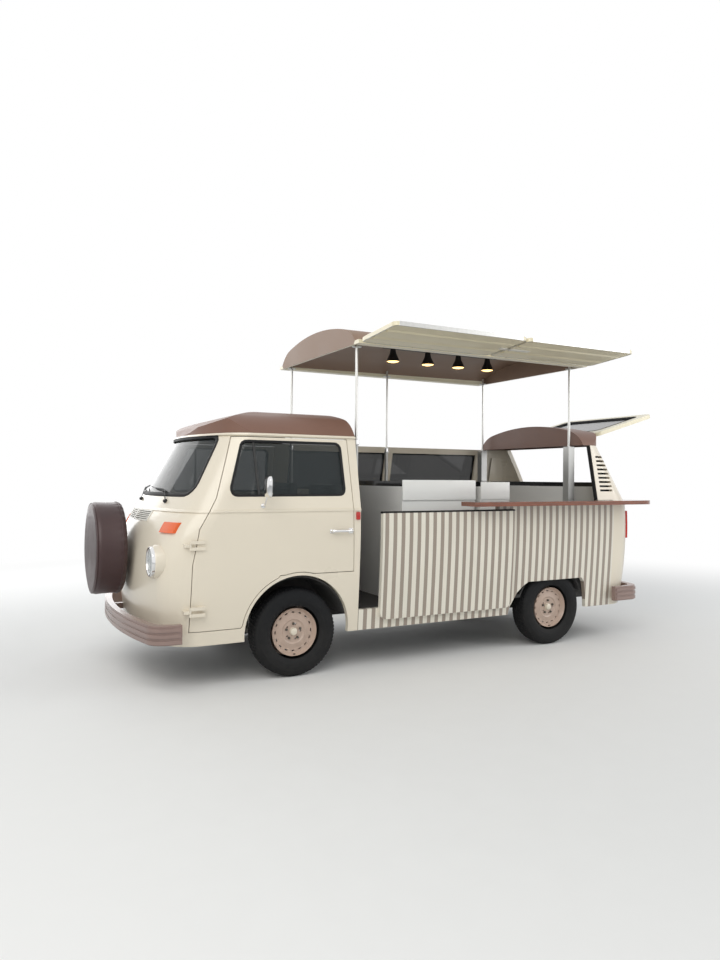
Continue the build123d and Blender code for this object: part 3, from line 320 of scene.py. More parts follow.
# %% [markdown]
# ## Stripes
# The half-door, the rear quarter and the sill carry vertical stripes, grey-brown on cream
# and about as wide as the cream between them. A stripe depends only on the distance along
# the van, so it is a zigzag wave of Object X, compared with the stripe's share of the pitch.

# %% Striped enamel
stripe_pitch, stripe_share = 0.0715, 0.46
stripe_base, stripe_colour = (0.78, 0.74, 0.64), (0.330, 0.275, 0.225)
tree, shader, shade, place = make_finish("striped_enamel", stripe_base, rough=0.32, coat=0.5, mottle=0.035,
                                         mottle_scale=3, grain=0.03, grain_scale=90)
link, add = tree.links.new, tree.nodes.new
split, wave, edge, paint = (add("ShaderNodeSeparateXYZ"), add("ShaderNodeMath"), add("ShaderNodeMath"),
                            add("ShaderNodeMix"))
link(place.outputs["Object"], split.inputs[0])
wave.operation, edge.operation, paint.data_type = "PINGPONG", "GREATER_THAN", "RGBA"
wave.inputs[1].default_value = stripe_pitch / 2
edge.inputs[1].default_value = stripe_pitch / 2 * (1 - stripe_share)
link(split.outputs["X"], wave.inputs[0])
link(wave.outputs[0], edge.inputs[0])
paint.inputs["B"].default_value = (*stripe_colour, 1)
link(edge.outputs[0], paint.inputs["Factor"])
link(shade.outputs["Color"], paint.inputs["A"])
link(paint.outputs["Result"], shader.inputs["Base Color"])
print("stripe pitch", stripe_pitch * 1000, "mm")

# %% [markdown]
# ## Varnished wood
# The shelf is a red-brown hardwood board under thick varnish. Its grain is the finish's own
# noise drawn out along the board: it changes about fifteen times more slowly along X than
# across, and a thick coat lies over it.

# %% Shelf wood
grain_stretch = (0.9, 14, 14)
shader = make_finish("shelf_wood", (0.20, 0.060, 0.028), rough=0.22, coat=0.9, mottle=0.45, mottle_scale=9,
                     stretch=grain_stretch, grain=0.15)[1]
print("wood coat", round(shader.inputs["Coat Weight"].default_value, 2))

# %% [markdown]
# ## Floor paint
# The floor shows the van's shadow near it and turns to plain white further out, so that no
# horizon is seen. Only rays from the camera see that white, which keeps it off the van.

# %% Floor finish
white_from, white_full = 3.2, 8.5
tree, shader, _, place = make_finish("floor_paint", (0.80, 0.80, 0.79), rough=0.8, mottle=0.01)
link, add = tree.links.new, tree.nodes.new
reach, camera_ray, white = add("ShaderNodeVectorMath"), add("ShaderNodeLightPath"), add("ShaderNodeEmission")
both, blend = add("ShaderNodeMath"), add("ShaderNodeMixShader")
reach.operation, both.operation = "LENGTH", "MULTIPLY"
link(place.outputs["Object"], reach.inputs[0])
fade = map_range(tree, reach.outputs["Value"], white_from, white_full, 0.0, 1.0)
fade.interpolation_type = "SMOOTHSTEP"
link(fade.outputs[0], both.inputs[0])
link(camera_ray.outputs["Is Camera Ray"], both.inputs[1])
link(both.outputs[0], blend.inputs[0])
link(shader.outputs[0], blend.inputs[1])
link(white.outputs[0], blend.inputs[2])
output = next(node for node in tree.nodes if node.type == "OUTPUT_MATERIAL")
link(blend.outputs[0], output.inputs["Surface"])
floor.data.materials.append(finishes["floor_paint"])
print("floor turns white from", white_from, "to", white_full, "m")

# %% [markdown]
# ## Finish of each solid
# Each solid of the frame keeps its shape and gets the finish of the real piece, with two
# exceptions. The cream of the wings, lifting roof and tailgate is yellowed by painted light
# bounced from below. The spare cover's dark vinyl is darkened further by painted shade. Two
# solids carry two finishes: the small lamps are orange at the front and red at the tail, and
# the lifting roof is brown outside and cream inside. Faces take the second finish by where
# they lie, so nothing in the solid changes.

# %% Dress the solids
finish_nodes = {
    "cream_enamel": "cab_body door_left door_right engine_lid rear_body right_side",
    "brown_enamel": "cab_roof rear_roof", "mauve_enamel": "bumpers", "post_enamel": "roof_posts",
    "wing_cream_painted_bounce": "raised_roof tailgate wing_front wing_rear",
    "striped_enamel": "left_side sliding_half_door",
    "rim_enamel": " ".join("wheel_" + corner for corner in wheel_corners), "lamp_black": "spot_lamps",
    "tyre_rubber": " ".join("tyre_" + corner for corner in wheel_corners), "cover_vinyl": "spare_cover",
    "underseal": "engine_deck floor wheelhouses", "cast_metal": "engine", "brushed_steel": "roof_poles",
    "chassis_black": "front_axle rear_axle knuckle_left knuckle_right", "chrome": "mirror_left mirror_right",
    "white_board": "cabinets", "black_laminate": "worktop", "shelf_wood": "shelf", "seat_vinyl": "seats",
    "white_plastic": "air_grille", "black_plastic": "dashboard",
    "amber_lens": "lamps", "clear_lens": "headlamps",
    "door_glass": "door_glass_left door_glass_right windscreen",
    "tinted_glass": "right_windows tailgate_glass",
}
finish_of = {node: finish for finish, names in finish_nodes.items() for node in names.split()}
for name, thing in nodes.items():
    thing.data.materials.clear()
    thing.data.materials.append(finishes[finish_of.get(name, "cream_enamel")])
print("dressed", len(nodes), "solids; without a finish of their own:", sorted(set(nodes) - set(finish_of)))


# %% Second finish of two solids
def second_finish(node, finish, test):
    """A second finish for the faces whose centre passes a test; the solid itself stays as it is."""
    mesh = nodes[node].data
    mesh.materials.append(finishes[finish])
    centre = np.empty(len(mesh.polygons) * 3)
    mesh.polygons.foreach_get("center", centre)
    chosen = test(centre.reshape(-1, 3))
    mesh.polygons.foreach_set("material_index", chosen.astype(np.int32))
    return int(chosen.sum())


belt_z, gutter_z, roof_raise, rail_height = 1215, 1748, 700, 28
paint_line = (gutter_z + roof_raise + rail_height) / 1000 - 0.004
behind_axle = axle_x - 1
red_faces = second_finish("lamps", "red_lens", lambda place: place[:, 0] < behind_axle)
brown_faces = second_finish("raised_roof", "taupe_enamel", lambda place: place[:, 2] > paint_line)
print("red faces at the tail:", red_faces, "brown faces on the roof:", brown_faces)

# %% [markdown]
# ## From grids of points to pieces
# Every new piece is a surface over a grid: a profile carried along a path, a profile turned
# about an axis, or a ball pulled apart into a rounded box. One function joins neighbouring
# points into faces, welds the doubles, turns the faces outwards and lets it ride on a body.

# %% Making a piece
weld_distance, sliver_length = 0.00002, 0.00001


def build(name, grids, finish, body="van_body", crease=35):
    """A piece from grids of points in the van's millimetres: four neighbours make a face, doubles weld."""
    points, faces, start = [], [], 0
    for grid in grids:
        rows, cols = grid.shape[:2]
        index = start + np.arange(rows * cols).reshape(rows, cols)
        around = [index[:-1, :-1], index[1:, :-1], index[1:, 1:], index[:-1, 1:]]
        faces.append(np.stack(around, -1).reshape(-1, 4))
        points.append(van(grid[..., 0], grid[..., 1], grid[..., 2]).reshape(-1, 3))
        start += rows * cols
    mesh = bpy.data.meshes.new(name)
    mesh.from_pydata(np.concatenate(points).tolist(), [], np.concatenate(faces).tolist())
    work = bmesh.new()
    work.from_mesh(mesh)
    bmesh.ops.remove_doubles(work, verts=work.verts, dist=weld_distance)
    bmesh.ops.dissolve_degenerate(work, edges=work.edges, dist=sliver_length)
    bmesh.ops.recalc_face_normals(work, faces=work.faces)
    work.to_mesh(mesh)
    work.free()
    mesh.polygons.foreach_set("use_smooth", np.ones(len(mesh.polygons), bool))
    mesh.set_sharp_from_angle(angle=radians(crease))
    mesh.materials.append(finishes[finish])
    thing = bpy.data.objects.new(name, mesh)
    bpy.context.scene.collection.objects.link(thing)
    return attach(thing, body)


# %% Surfaces from a profile
def unit(vectors):
    """Vectors of length one."""
    return vectors / np.maximum(np.linalg.norm(vectors, axis=-1, keepdims=True), 1e-9)


def slab(front, back):
    """Two sheets of points closed round their edges into one thin solid."""
    loop = np.concatenate([front, back[:, ::-1], front[:, :1]], 1)
    ends = [np.concatenate([front[k], front[k][::-1], front[k][:1]])[None] for k in (0, -1)]
    return np.concatenate([ends[0], loop, ends[1]])


def along(path, profile, upward, closed=False):
    """Profile along a path: its first axis lies across path and upward guide, its second along the guide."""
    path, profile = np.asarray(path, float), np.asarray(profile, float)
    ahead = np.roll(path, -1, 0) - np.roll(path, 1, 0) if closed else np.gradient(path, axis=0)
    ahead = unit(ahead)
    side = unit(np.cross(ahead, np.broadcast_to(np.asarray(upward, float), path.shape)))
    rise = np.cross(side, ahead)
    rings = path[:, None] + profile[None, :, :1] * side[:, None] + profile[None, :, 1:] * rise[:, None]
    if closed:
        return np.concatenate([rings, rings[:1]])
    ends = [np.repeat(end.mean(1, keepdims=True), profile.shape[0], 1) for end in (rings[:1], rings[-1:])]
    return np.concatenate([ends[0], rings, ends[1]])


def turned(profile, centre, axis, steps=48):
    """Profile of radius and distance along the axis, turned once round the axis through the centre."""
    axis = unit(np.asarray(axis, float))
    helper = np.array([0.0, 0.0, 1.0]) if abs(axis[2]) < 0.9 else np.array([1.0, 0.0, 0.0])
    across = unit(np.cross(axis, helper))
    angle = np.linspace(0, 2 * pi, steps + 1)
    ring = np.cos(angle)[:, None] * across + np.sin(angle)[:, None] * np.cross(axis, across)
    profile = np.asarray(profile, float)
    return np.asarray(centre, float) + profile[:, None, 1:] * axis + profile[:, None, :1] * ring[None]


def rounded_box(low, high, radius, steps=3):
    """A ball cut in eight, each eighth moved to its own corner of the box, with the two flat ends closed."""
    low, high = np.asarray(low, float), np.asarray(high, float)
    quarter = np.linspace(0, pi / 2, steps + 1)
    turn = np.concatenate([quarter + k * pi / 2 for k in range(4)] + [[2 * pi]])
    rise = np.concatenate([quarter - pi / 2, quarter])
    sign_x = np.repeat([1, -1, -1, 1, 1], [steps + 1] * 4 + [1])
    sign_y = np.repeat([1, 1, -1, -1, 1], [steps + 1] * 4 + [1])
    sign_z = np.repeat([-1, 1], steps + 1)
    middle_point, half = (low + high) / 2, (high - low) / 2 - radius
    ball = np.stack([np.cos(rise)[:, None] * np.cos(turn), np.cos(rise)[:, None] * np.sin(turn),
                     np.broadcast_to(np.sin(rise)[:, None], (rise.size, turn.size))], -1)
    spread = half[0] * sign_x[None], half[1] * sign_y[None], half[2] * sign_z[:, None]
    shell = middle_point + np.stack(np.broadcast_arrays(*spread), -1) + radius * ball
    ends = [np.repeat(shell[k:k + 1].mean(1, keepdims=True), turn.size, 1) for k in (0, -1)]
    return np.concatenate([ends[0], shell, ends[1]])


print("a 10 mm rounded box has", rounded_box((0, 0, 0), (10, 10, 10), 2).shape, "points")


# %% Outlines and paths
def oval(width, height, steps=12):
    """Closed ellipse, the usual section of a seal or a bar."""
    angle = np.linspace(0, 2 * pi, steps + 1)
    return np.stack([width / 2 * np.cos(angle), height / 2 * np.sin(angle)], -1)


def rounded(corners, radius, steps=6):
    """Closed outline whose corners are arcs of one radius, each tangent to the two straight runs it joins."""
    corners = np.asarray(corners, float)
    back, on = unit(np.roll(corners, 1, 0) - corners), unit(np.roll(corners, -1, 0) - corners)
    half_angle = np.arccos(np.clip((back * on).sum(-1), -1, 1)) / 2
    cut = (radius / np.tan(half_angle))[:, None]
    centre = corners + unit(back + on) * (radius / np.sin(half_angle))[:, None]
    start, end = corners + back * cut - centre, corners + on * cut - centre
    sweep = (pi - 2 * half_angle)[:, None, None]
    t = np.linspace(0, 1, steps + 1)[None, :, None]
    arc = (np.sin((1 - t) * sweep) * start[:, None] + np.sin(t * sweep) * end[:, None]) / np.sin(sweep)
    return (centre[:, None] + arc).reshape(-1, corners.shape[1])


def spaced(path, step, closed=True):
    """The same path with points at an even spacing."""
    path = np.asarray(path, float)
    if closed:
        path = np.concatenate([path, path[:1]])
    run = np.concatenate([[0], np.cumsum(np.linalg.norm(np.diff(path, axis=0), axis=1))])
    count = max(8, int(run[-1] / step))
    at = np.linspace(0, run[-1], count + 1)[:-1 if closed else None]
    return np.stack([np.interp(at, run, path[:, k]) for k in range(path.shape[1])], -1)


def standing(skin, side, sunk, proud):
    """The two ends, low first, of what is sunk into a wall facing one way and stands proud of it."""
    return sorted((skin - side * sunk, skin + side * proud))


square = [(0, 0), (100, 0), (100, 100), (0, 100)]
print("a 100 mm square with 10 mm corners has", len(rounded(square, 10)), "points")

# %% [markdown]
# ## Laying trim on the body
# Seals and lips follow a curved skin, so their paths are found with rays: each point of a
# flat outline is sent at the solid, and the place where it lands carries the trim.

# %% Rays on a solid
skins = {}
beside, before, behind = 1500, 1500, -4000


def on_skin(node, points, direction, lift=0.0):
    """Where rays sent one way from points, in the van's millimetres, meet a solid, lifted by its normal."""
    if node not in skins:
        mesh = nodes[node].data
        skins[node] = BVHTree.FromPolygons([v.co for v in mesh.vertices], [p.vertices for p in mesh.polygons])
    hits = [skins[node].ray_cast(Vector(p), Vector(direction))[:2] for p in van(*np.asarray(points, float).T)]
    kept = [(place, normal) for place, normal in hits if place is not None]
    if len(kept) < len(hits):
        print("rays that missed", node, len(hits) - len(kept))
    return from_frame(np.array([tuple(place + normal * lift / 1000) for place, normal in kept]))


def lay(outline, plane, far, node, direction, lift):
    """Flat outline in two of the three axes, sent at a solid from far away."""
    points = np.insert(outline, {"x": 0, "y": 1}[plane], far, axis=1)
    return on_skin(node, points, direction, lift)


print("rays start", beside, "mm out at the sides")

# %% [markdown]
# ## Windows
# Old vans hold their glass in thick black rubber, with a bar between the quarter light and
# the sliding pane. The seal's section is an oval that laps over both the glass and the skin,
# so its line lies a little inside the opening and stands off the glass.

# %% Seals of the cab windows
door_window = ((529, 1302), (403, 1690), (-354, 1690), (-366, 1304))
quarter_bar = ((304, 1304), (324, 1688))
windscreen_opening = ((-690, 1300), (690, 1300), (600, 1722), (-600, 1722))
seal_lift, windscreen_lift, bar_lift = 10, 11, 4


def seal_line(opening, radius, step, share):
    """Rounded outline of an opening, drawn in towards its middle to a share of its size."""
    outline = spaced(rounded(opening, radius), step)
    return outline.mean(0) + (outline - outline.mean(0)) * share


for side, hand in sides:
    glass, outward, inward = "door_glass_" + hand, (0, side, 0), (0, -side, 0)
    outline = seal_line(door_window, radius=45, step=22, share=0.986)
    path = lay(outline, "y", side * beside, glass, inward, seal_lift)
    seal = along(path, oval(20, 13), outward, closed=True)
    build("door_seal_" + hand, [seal], "black_rubber", "door_" + hand)
    bar = lay(spaced(quarter_bar, 40, closed=False), "y", side * beside, glass, inward, bar_lift)
    build("quarter_bar_" + hand, [along(bar, oval(18, 12), outward)], "black_plastic", "door_" + hand)
print("door seal points:", len(path))

outline = seal_line(windscreen_opening, radius=70, step=28, share=0.990)
path = lay(outline, "x", before, "windscreen", (-1, 0, 0), windscreen_lift)
build("windscreen_seal", [along(path, oval(34, 18), (1, 0, 0.6), closed=True)], "black_rubber")
print("windscreen seal points:", len(path))

# %% Seals of the right-hand windows
pane_low, pane_high = 1332, 1688
right_panes = ((-562, -1598), (-1682, -2718))
grids = []
for front, rear in right_panes:
    pane = ((front, pane_low), (front, pane_high), (rear, pane_high), (rear, pane_low))
    outline = seal_line(pane, radius=26, step=30, share=0.992)
    path = lay(outline, "y", -beside, "right_windows", (0, 1, 0), seal_lift)
    grids.append(along(path, oval(22, 13), (0, -1, 0), closed=True))
build("right_window_seals", grids, "black_rubber")
print("right window seals:", len(grids))

# %% [markdown]
# ## Wipers, handles and mirrors
# The two wiper arms rest low on the windscreen. The door handles are chrome pulls with a
# button, and each mirror is an upright oval head on a bent arm from the door.

# %% Wipers
pivot_places, pivot_z = (430, -170), 1262
blade_rise, elbow_rise, tip_rise = 20, 29, 27
pivot_profile = [(0, -12), (15, -12), (15, 4), (10, 10), (0, 11)]


def on_windscreen(y, z, lift):
    """The one place on the glass straight behind a point ahead of the van."""
    return lay(np.array([(y, float(z))]), "x", before, "windscreen", (-1, 0, 0), lift)[0]


grids = []
for pivot_y in pivot_places:
    foot = on_skin("cab_body", [(before, pivot_y, pivot_z)], (-1, 0, 0), 10)[0]
    blade_line = spaced([(pivot_y - 60, 1322), (pivot_y - 440, 1352)], 30, closed=False)
    blade = lay(blade_line, "x", before, "windscreen", (-1, 0, 0), blade_rise)
    elbow, tip = on_windscreen(pivot_y - 90, 1330, elbow_rise), on_windscreen(pivot_y - 250, 1338, tip_rise)
    grids += [along(spaced([foot, elbow, tip], 25, closed=False), oval(9, 6), (1, 0, 0.5)),
              along(blade, oval(7, 12), (1, 0, 0.5)), turned(pivot_profile, foot, (0.55, 0, 0.85), 20)]
build("wipers", grids, "black_plastic")
print("wipers:", len(pivot_places))

# %% Door handles and locks
handle_z, handle_front, handle_rear = 1048, -236, -400
lock_x, lock_half, front_x, front_half, plate_sunk = -395, (17, 20), -245, (17, 15), 3
grip_line = ((-240, 2, 0), (-246, 22, 2), (-270, 32, 3), (-330, 34, 3), (-372, 30, 1), (-392, 4, 0))
button_profile = [(0, 0), (11, 0), (11, 12), (8, 15), (0, 16)]
for side, hand in sides:
    ends = [(handle_front, side * beside, handle_z), (handle_rear, side * beside, handle_z)]
    skin_y = on_skin("door_" + hand, ends, (0, -side, 0))[:, 1].mean()
    grip = np.array([(x, skin_y + side * out, handle_z + rise) for x, out, rise in grip_line])
    plates = []
    for x, half, proud in ((lock_x, lock_half, 5), (front_x, front_half, 4)):
        low_y, high_y = standing(skin_y, side, plate_sunk, proud)
        low, high = (x - half[0], low_y, handle_z - half[1]), (x + half[0], high_y, handle_z + half[1])
        plates.append(rounded_box(low, high, 3))
    button = turned(button_profile, (lock_x - 7, skin_y + side * 4, handle_z), (0, side, 0), 24)
    bar = along(spaced(grip, 8, closed=False), oval(16, 22), (0, 0, 1))
    build("door_handle_" + hand, [bar, *plates, button], "chrome", "door_" + hand)
print("handle stands at y", round(float(skin_y), 1))

# %% Mirrors
head_x, head_y, head_z = 282.0, 955, 1370.0
foot_x, foot_z = 286, 1238
head_outline = ((-50, -76), (50, -76), (56, 76), (-56, 76))
shell_profile = ((0.0, -12), (0.90, -12), (1.0, -7), (1.0, 5), (0.86, 16), (0.5, 24), (0.0, 27))
pane_profile = ((0.0, -14.0), (0.5, -14.0), (0.86, -13.0), (0.88, -13.0))
foot_profile = [(0, -2), (18, -2), (16, 5), (0, 8)]


def rings_of(face, head, profile):
    """An outline repeated at each share of its size, each ring at its own depth behind the glass."""
    return np.stack([np.stack([np.full(len(face), head[0] + depth), head[1] + face[:, 0] * share,
                               head[2] + face[:, 1] * share], -1) for share, depth in profile])


for side, hand in sides:
    head = np.array([head_x, side * head_y, head_z])
    face = rounded(head_outline, 34, 6)
    face = np.concatenate([face, face[:1]])
    foot = on_skin("door_" + hand, [(foot_x, side * beside, foot_z)], (0, -side, 0), 2)[0]
    arm_line = [foot, foot + (0, side * 34, 4), head + (6, -side * 26, -88), head + (8, -side * 8, -40)]
    arm = along(spaced(arm_line, 12, closed=False), oval(11, 11), (1, 0, 0))
    shell, foot_disc = rings_of(face, head, shell_profile), turned(foot_profile, foot, (0, side, 0), 24)
    mirror = build("mirror_head_" + hand, [shell, arm, foot_disc], "chrome", "door_" + hand)
    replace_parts(mirror, "mirror_" + hand)
    build("mirror_pane_" + hand, [rings_of(face, head, pane_profile)], "reflector", "door_" + hand)
print("mirror outline points:", len(face))

# %% [markdown]
# ## Lamps on the body
# Each headlamp is a glass over a bright bowl, held by a chrome rim in a painted bucket that
# stands out of the curved nose. All four are profiles turned about one axis. A small red
# marker sits behind each door.

# %% Headlamps and side markers
headlamp_x, headlamp_y, headlamp_z = 1006, 640, 862
headlamp_parts = {
    "glass": ("clear_lens", [(0, 17), (30, 15.5), (60, 10), (82, 2), (88, -4), (86, -6), (0, -6)]),
    "bowl": ("reflector", [(0, -12), (20, -13), (60, -10), (87, -5), (87, -16), (0, -16)]),
    "rim": ("chrome", [(86, -20), (88, 0), (91, 6), (97, 7), (103, 1), (105, -12), (101, -30), (95, -34),
                       (86, -20)]),
    "bucket": ("cream_enamel", [(96, -14), (109, -16), (113, -30), (116, -105), (96, -105), (96, -14)]),
}
for side, hand in sides:
    centre = np.array([headlamp_x, side * headlamp_y, headlamp_z])
    for part, (finish, profile) in headlamp_parts.items():
        piece = build("headlamp_" + part + "_" + hand, [turned(profile, centre, (1, 0, 0), 64)], finish)
        if part == "glass" and hand == "left":
            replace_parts(piece, "headlamps")

marker_x, marker_z, marker_low, marker_high, marker_half = -455, 1150, 1128, 1186, 16
markers = []
for side, _ in sides:
    skin_y = on_skin("cab_body", [(marker_x, side * beside, marker_z)], (0, -side, 0))[0][1]
    low_y, high_y = standing(skin_y, side, 4, 15)
    low, high = (marker_x - marker_half, low_y, marker_low), (marker_x + marker_half, high_y, marker_high)
    markers.append(rounded_box(low, high, 6))
build("side_markers", markers, "red_lens")
print("headlamp pieces:", 2 * len(headlamp_parts), "side markers:", len(markers))

# %% [markdown]
# ## Wheels
# A pressed wheel carries a small cap, five bolts and a valve. Its tyre is the solid's own
# section with the tread cut into it: three grooves round it and short cuts across.

# %% Section of the tyre
tread_half, tread_deep, groove_places, cut_count = 74, 6.5, (-34, 0, 34), 72
groove_half, rib_half, groove_clear = 4.0, 8, 5
cut_slant, cut_level, cut_share = 0.05, 0.72, 0.7
crown_radius, crown_rise, crown_half, tread_from = 315, 4.6, 58, 297


def tread_depth(across, angle):
    """Depth of the tread: round grooves by distance across, cross cuts by a square wave of the angle."""
    off = np.abs(across)
    grooves = sum(np.exp(-((across - at) / groove_half) ** 4) for at in groove_places)
    wave = np.sin(angle * cut_count + cut_slant * off)
    cuts = (wave > cut_level) * (off > rib_half) * (np.abs(off - groove_places[-1]) > groove_clear)
    return tread_deep * np.clip(np.maximum(grooves, cut_share * cuts), 0, 1) * (off < tread_half)


side_wall = np.array([(-70, 190.8), (-80, 205), (-87, 222), (-87.6, 225), (-89.2, 227), (-89, 230),
                      (-92, 240), (-92, 256), (-90, 270), (-89.6, 276), (-87.5, 279), (-84, 290),
                      (-80, 298), (-75, 304), (-66, 313), (-58, 315)])
bead = np.array([(58, 196), (0, 200), (-58, 196), (-70, 190.8)])
flat = np.linspace(-54, 54, 37)
crown = np.stack([flat, crown_radius + crown_rise * (1 - (flat / crown_half) ** 2)], -1)
section = np.concatenate([side_wall, crown, side_wall[::-1] * (-1, 1), bead])
across, radius = section[:, 0][:, None], section[:, 1][:, None]
angle = np.linspace(0, 2 * pi, 433)
depth = np.where(radius > tread_from, tread_depth(across, angle[None]), 0)
reach = radius - depth
print("tyre grid:", reach.shape, "deepest groove", round(float(depth.max()), 1), "mm")

# %% Tyres and wheel trim
track = {"front": 1395, "rear": 1435}
face_out, bolt_circle, bolt_count, valve_drop = 30, 56, 5, 165
cap_profile = [(0, 26), (14, 25), (24, 20), (29, 8), (30, -4), (0, -4)]
bolt_profile = [(0, 14), (8, 13), (10, 8), (10, -6), (0, -6)]
valve_profile = [(0, 34), (3, 33), (4, 10), (6, 0), (0, 0)]
bolt_angles = radians(90) + np.arange(bolt_count) * 2 * pi / bolt_count
for corner in wheel_corners:
    wheel, side = "wheel_" + corner, 1 if "left" in corner else -1
    hub = from_frame(middle(wheel))
    hub[1] = side * track[corner.split("_")[0]] / 2
    grid = np.stack([hub[0] + reach * np.cos(angle), hub[1] + np.broadcast_to(across, reach.shape),
                     hub[2] + reach * np.sin(angle)], -1)
    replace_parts(build("tread_" + corner, [grid], "tyre_rubber", wheel, crease=28), "tyre_" + corner)
    face, outward = hub + (0, side * face_out, 0), (0, side, 0)
    bolts = [turned(bolt_profile, face + (bolt_circle * cos(a), 0, bolt_circle * sin(a)), outward, 6)
             for a in bolt_angles]
    valve = turned(valve_profile, hub + (0, side * 40, -valve_drop), (0, side, 0.35), 12)
    build("bolts_" + corner, bolts + [valve], "chassis_black", wheel)
    build("cap_" + corner, [turned(cap_profile, face, outward, 40)], "cream_enamel", wheel)
print("wheels:", len(wheel_corners), "with", len(bolts), "bolts each")

# %% [markdown]
# ## Spare wheel cover
# The cover is sewn vinyl drawn over the spare wheel. Its dark red colour is partly its own and
# partly painted shade. Its section is turned about the wheel's axis; the band between its two
# piped seams sinks a little and puckers towards the elastic hem at the back, and the front
# panel is crowned by the wheel behind it.

# %% Section of the cover
spare_z, panel_radius, shoulder_radius, hem_depth = 910, 300, 36, 28
band_front, band_width, panel_crown, band_sink = 1267, 150, 5, 2.5
band_rear, cover_radius = band_front - band_width, panel_radius + shoulder_radius
panel_x, back_x = band_front + shoulder_radius, band_rear - hem_depth
share = np.linspace(0, 1, 15)
bend = np.linspace(0, pi / 2, 9)[1:]
bend_out, bend_along = shoulder_radius * np.sin(bend), shoulder_radius * np.cos(bend)
front_panel = np.stack([share * panel_radius, panel_x + panel_crown * (1 - share ** 2)], -1)
shoulder = np.stack([panel_radius + bend_out, band_front + bend_along], -1)
band = np.stack([cover_radius - band_sink * np.sin(share * pi), band_front - share * band_width], -1)[1:]
hem = np.stack([panel_radius + bend_along, band_rear - hem_depth * np.sin(bend)], -1)
back_panel = np.array([(200.0, back_x), (0, back_x)])
profile = np.concatenate([front_panel, shoulder, band, hem, back_panel])
print("cover reaches", cover_radius, "mm from its axis")

# %% Sewn cover
cover_steps, slack_depth = 192, 1.2
puckers, pucker_sink, pucker_x, pucker_half = ((2.6, 34, 0), (1.2, 13, 1)), 1.5, 1112, 26
cover = turned(profile, (0, 0, spare_z), (1, 0, 0), cover_steps)
turn_angle = np.linspace(0, 2 * pi, cover_steps + 1)[None]
near_hem = np.exp(-((profile[:, 1:] - pucker_x) / pucker_half) ** 2)
near_hem = near_hem * np.clip(profile[:, :1] / panel_radius, 0, 1) ** 4
waves = sum(deep * np.sin(turn_angle * count + shift) for deep, count, shift in puckers)
ripple = near_hem * waves - pucker_sink * near_hem
on_panel = np.clip(profile[:, :1] / 200, 0, 1) * (profile[:, 1:] > 1290)
slack = slack_depth * np.sin(turn_angle * 3 + 0.6) * on_panel
outwards = cover - np.array([0, 0, spare_z])
outwards[..., 0] = 0
cover = cover + ripple[..., None] * unit(outwards)
cover[..., 0] += slack - slack_depth
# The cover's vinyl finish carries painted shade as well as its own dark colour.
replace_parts(build("sewn_cover", [cover], "cover_vinyl", crease=50), "spare_cover")
piping = np.linspace(0, 2 * pi, 13)
piping_half, seams = 4.5, ((327, 1292), (335.5, 1122))
rings = [turned(np.stack([seam_radius + piping_half * np.cos(piping), at + piping_half * np.sin(piping)], -1),
                (0, 0, spare_z), (1, 0, 0), 96) for seam_radius, at in seams]
build("cover_piping", rings, "cover_vinyl")
print("cover points:", cover.shape[:2])

# %% [markdown]
# ## Serving side
# The half-door has a black rubber channel along its top edge. The counter inside carries two
# white front boards, and the open pillar's edge is sealed with the same black rubber. Behind
# the slots of the louvred pillars a black sheet is painted shade for the dark inside the
# pillar, and a cream sheet behind it faces the galley.

# %% Half-door channel, front boards and pillar seal
door_top, door_front, door_rear, channel_inset = 1176, -650, -1900, 19
door_skin = on_skin("sliding_half_door", [(-1200, beside, door_top - 6)], (0, -1, 0))[0][1]
channel = np.array([(x, door_skin - channel_inset, door_top + 3) for x in (door_front + 2, door_rear - 2)])
channel = along(spaced(channel, 200, closed=False), oval(47, 17, 16), (0, 0, 1))
build("half_door_channel", [channel], "black_rubber")
board_y, board_z = 700.6, 1262
for name, rear, front, face_y, top in (("counter_board", -1640, -930, 712, 1424),
                                       ("counter_board_rear", -2002, -1698, 709, 1410)):
    build(name, [rounded_box((rear, board_y, board_z), (front, face_y, top), 2)], "white_board")

belt_half, gutter_half, pillar_x, seal_inset = 860, 752, -2884.0, 20


def side_half(z):
    """Half width of the body above the belt line: it narrows evenly up to the gutter."""
    return belt_half + (gutter_half - belt_half) * (np.asarray(z, float) - belt_z) / (gutter_z - belt_z)


levels = np.linspace(1256, 1744, 14)
edge = np.stack([np.full(levels.size, pillar_x), side_half(levels) - seal_inset, levels], -1)
build("pillar_seal", [along(edge, oval(40, 16), (1, 0, 0))], "black_rubber")
print("half-door skin at y", round(float(door_skin), 1))

# %% Louvre backs: black painted shade behind the slots, cream to the galley
tail_belt_x, tail_gutter_x, corner_run, corner_radius = -3385, -3125, 257, 240
back_inset, sheet = 47, 4
louvre_z = np.linspace(1326, 1662, 12)[:, None]
louvre_x = np.linspace(-2925, -3098, 14)[None]
tail_x = tail_belt_x + (tail_gutter_x - tail_belt_x) * (louvre_z - belt_z) / (gutter_z - belt_z)
into_corner = np.clip(tail_x + corner_run - louvre_x, 0, corner_radius - 4)
drop = corner_radius - np.sqrt(np.maximum(corner_radius ** 2 - into_corner ** 2, 0))
# The black sheet nearest the slots is painted shade; the cream lining behind it faces the galley.
for name, finish, depth in (("louvre_painted_shade", "black_plastic", 0), ("louvre_linings", "cream_enamel", 5)):
    grids = []
    for side, _ in sides:
        walls = [side * (side_half(louvre_z) - back_inset - deep - drop) for deep in (depth, depth + sheet)]
        grids.append(slab(*(np.stack(np.broadcast_arrays(louvre_x, wall, louvre_z), -1) for wall in walls)))
    build(name, grids, finish)
print("louvre backs: deepest", round(float(drop.max()), 1), "mm into the corner")

# %% [markdown]
# ## Lifting roof and wings
# Metal edging runs round each wing and two shallow ridges stiffen its underside. A white
# catch lies under each wing where the two meet. A flange ties each pole to the roof, and
# the lamps glow warm inside their black shades.

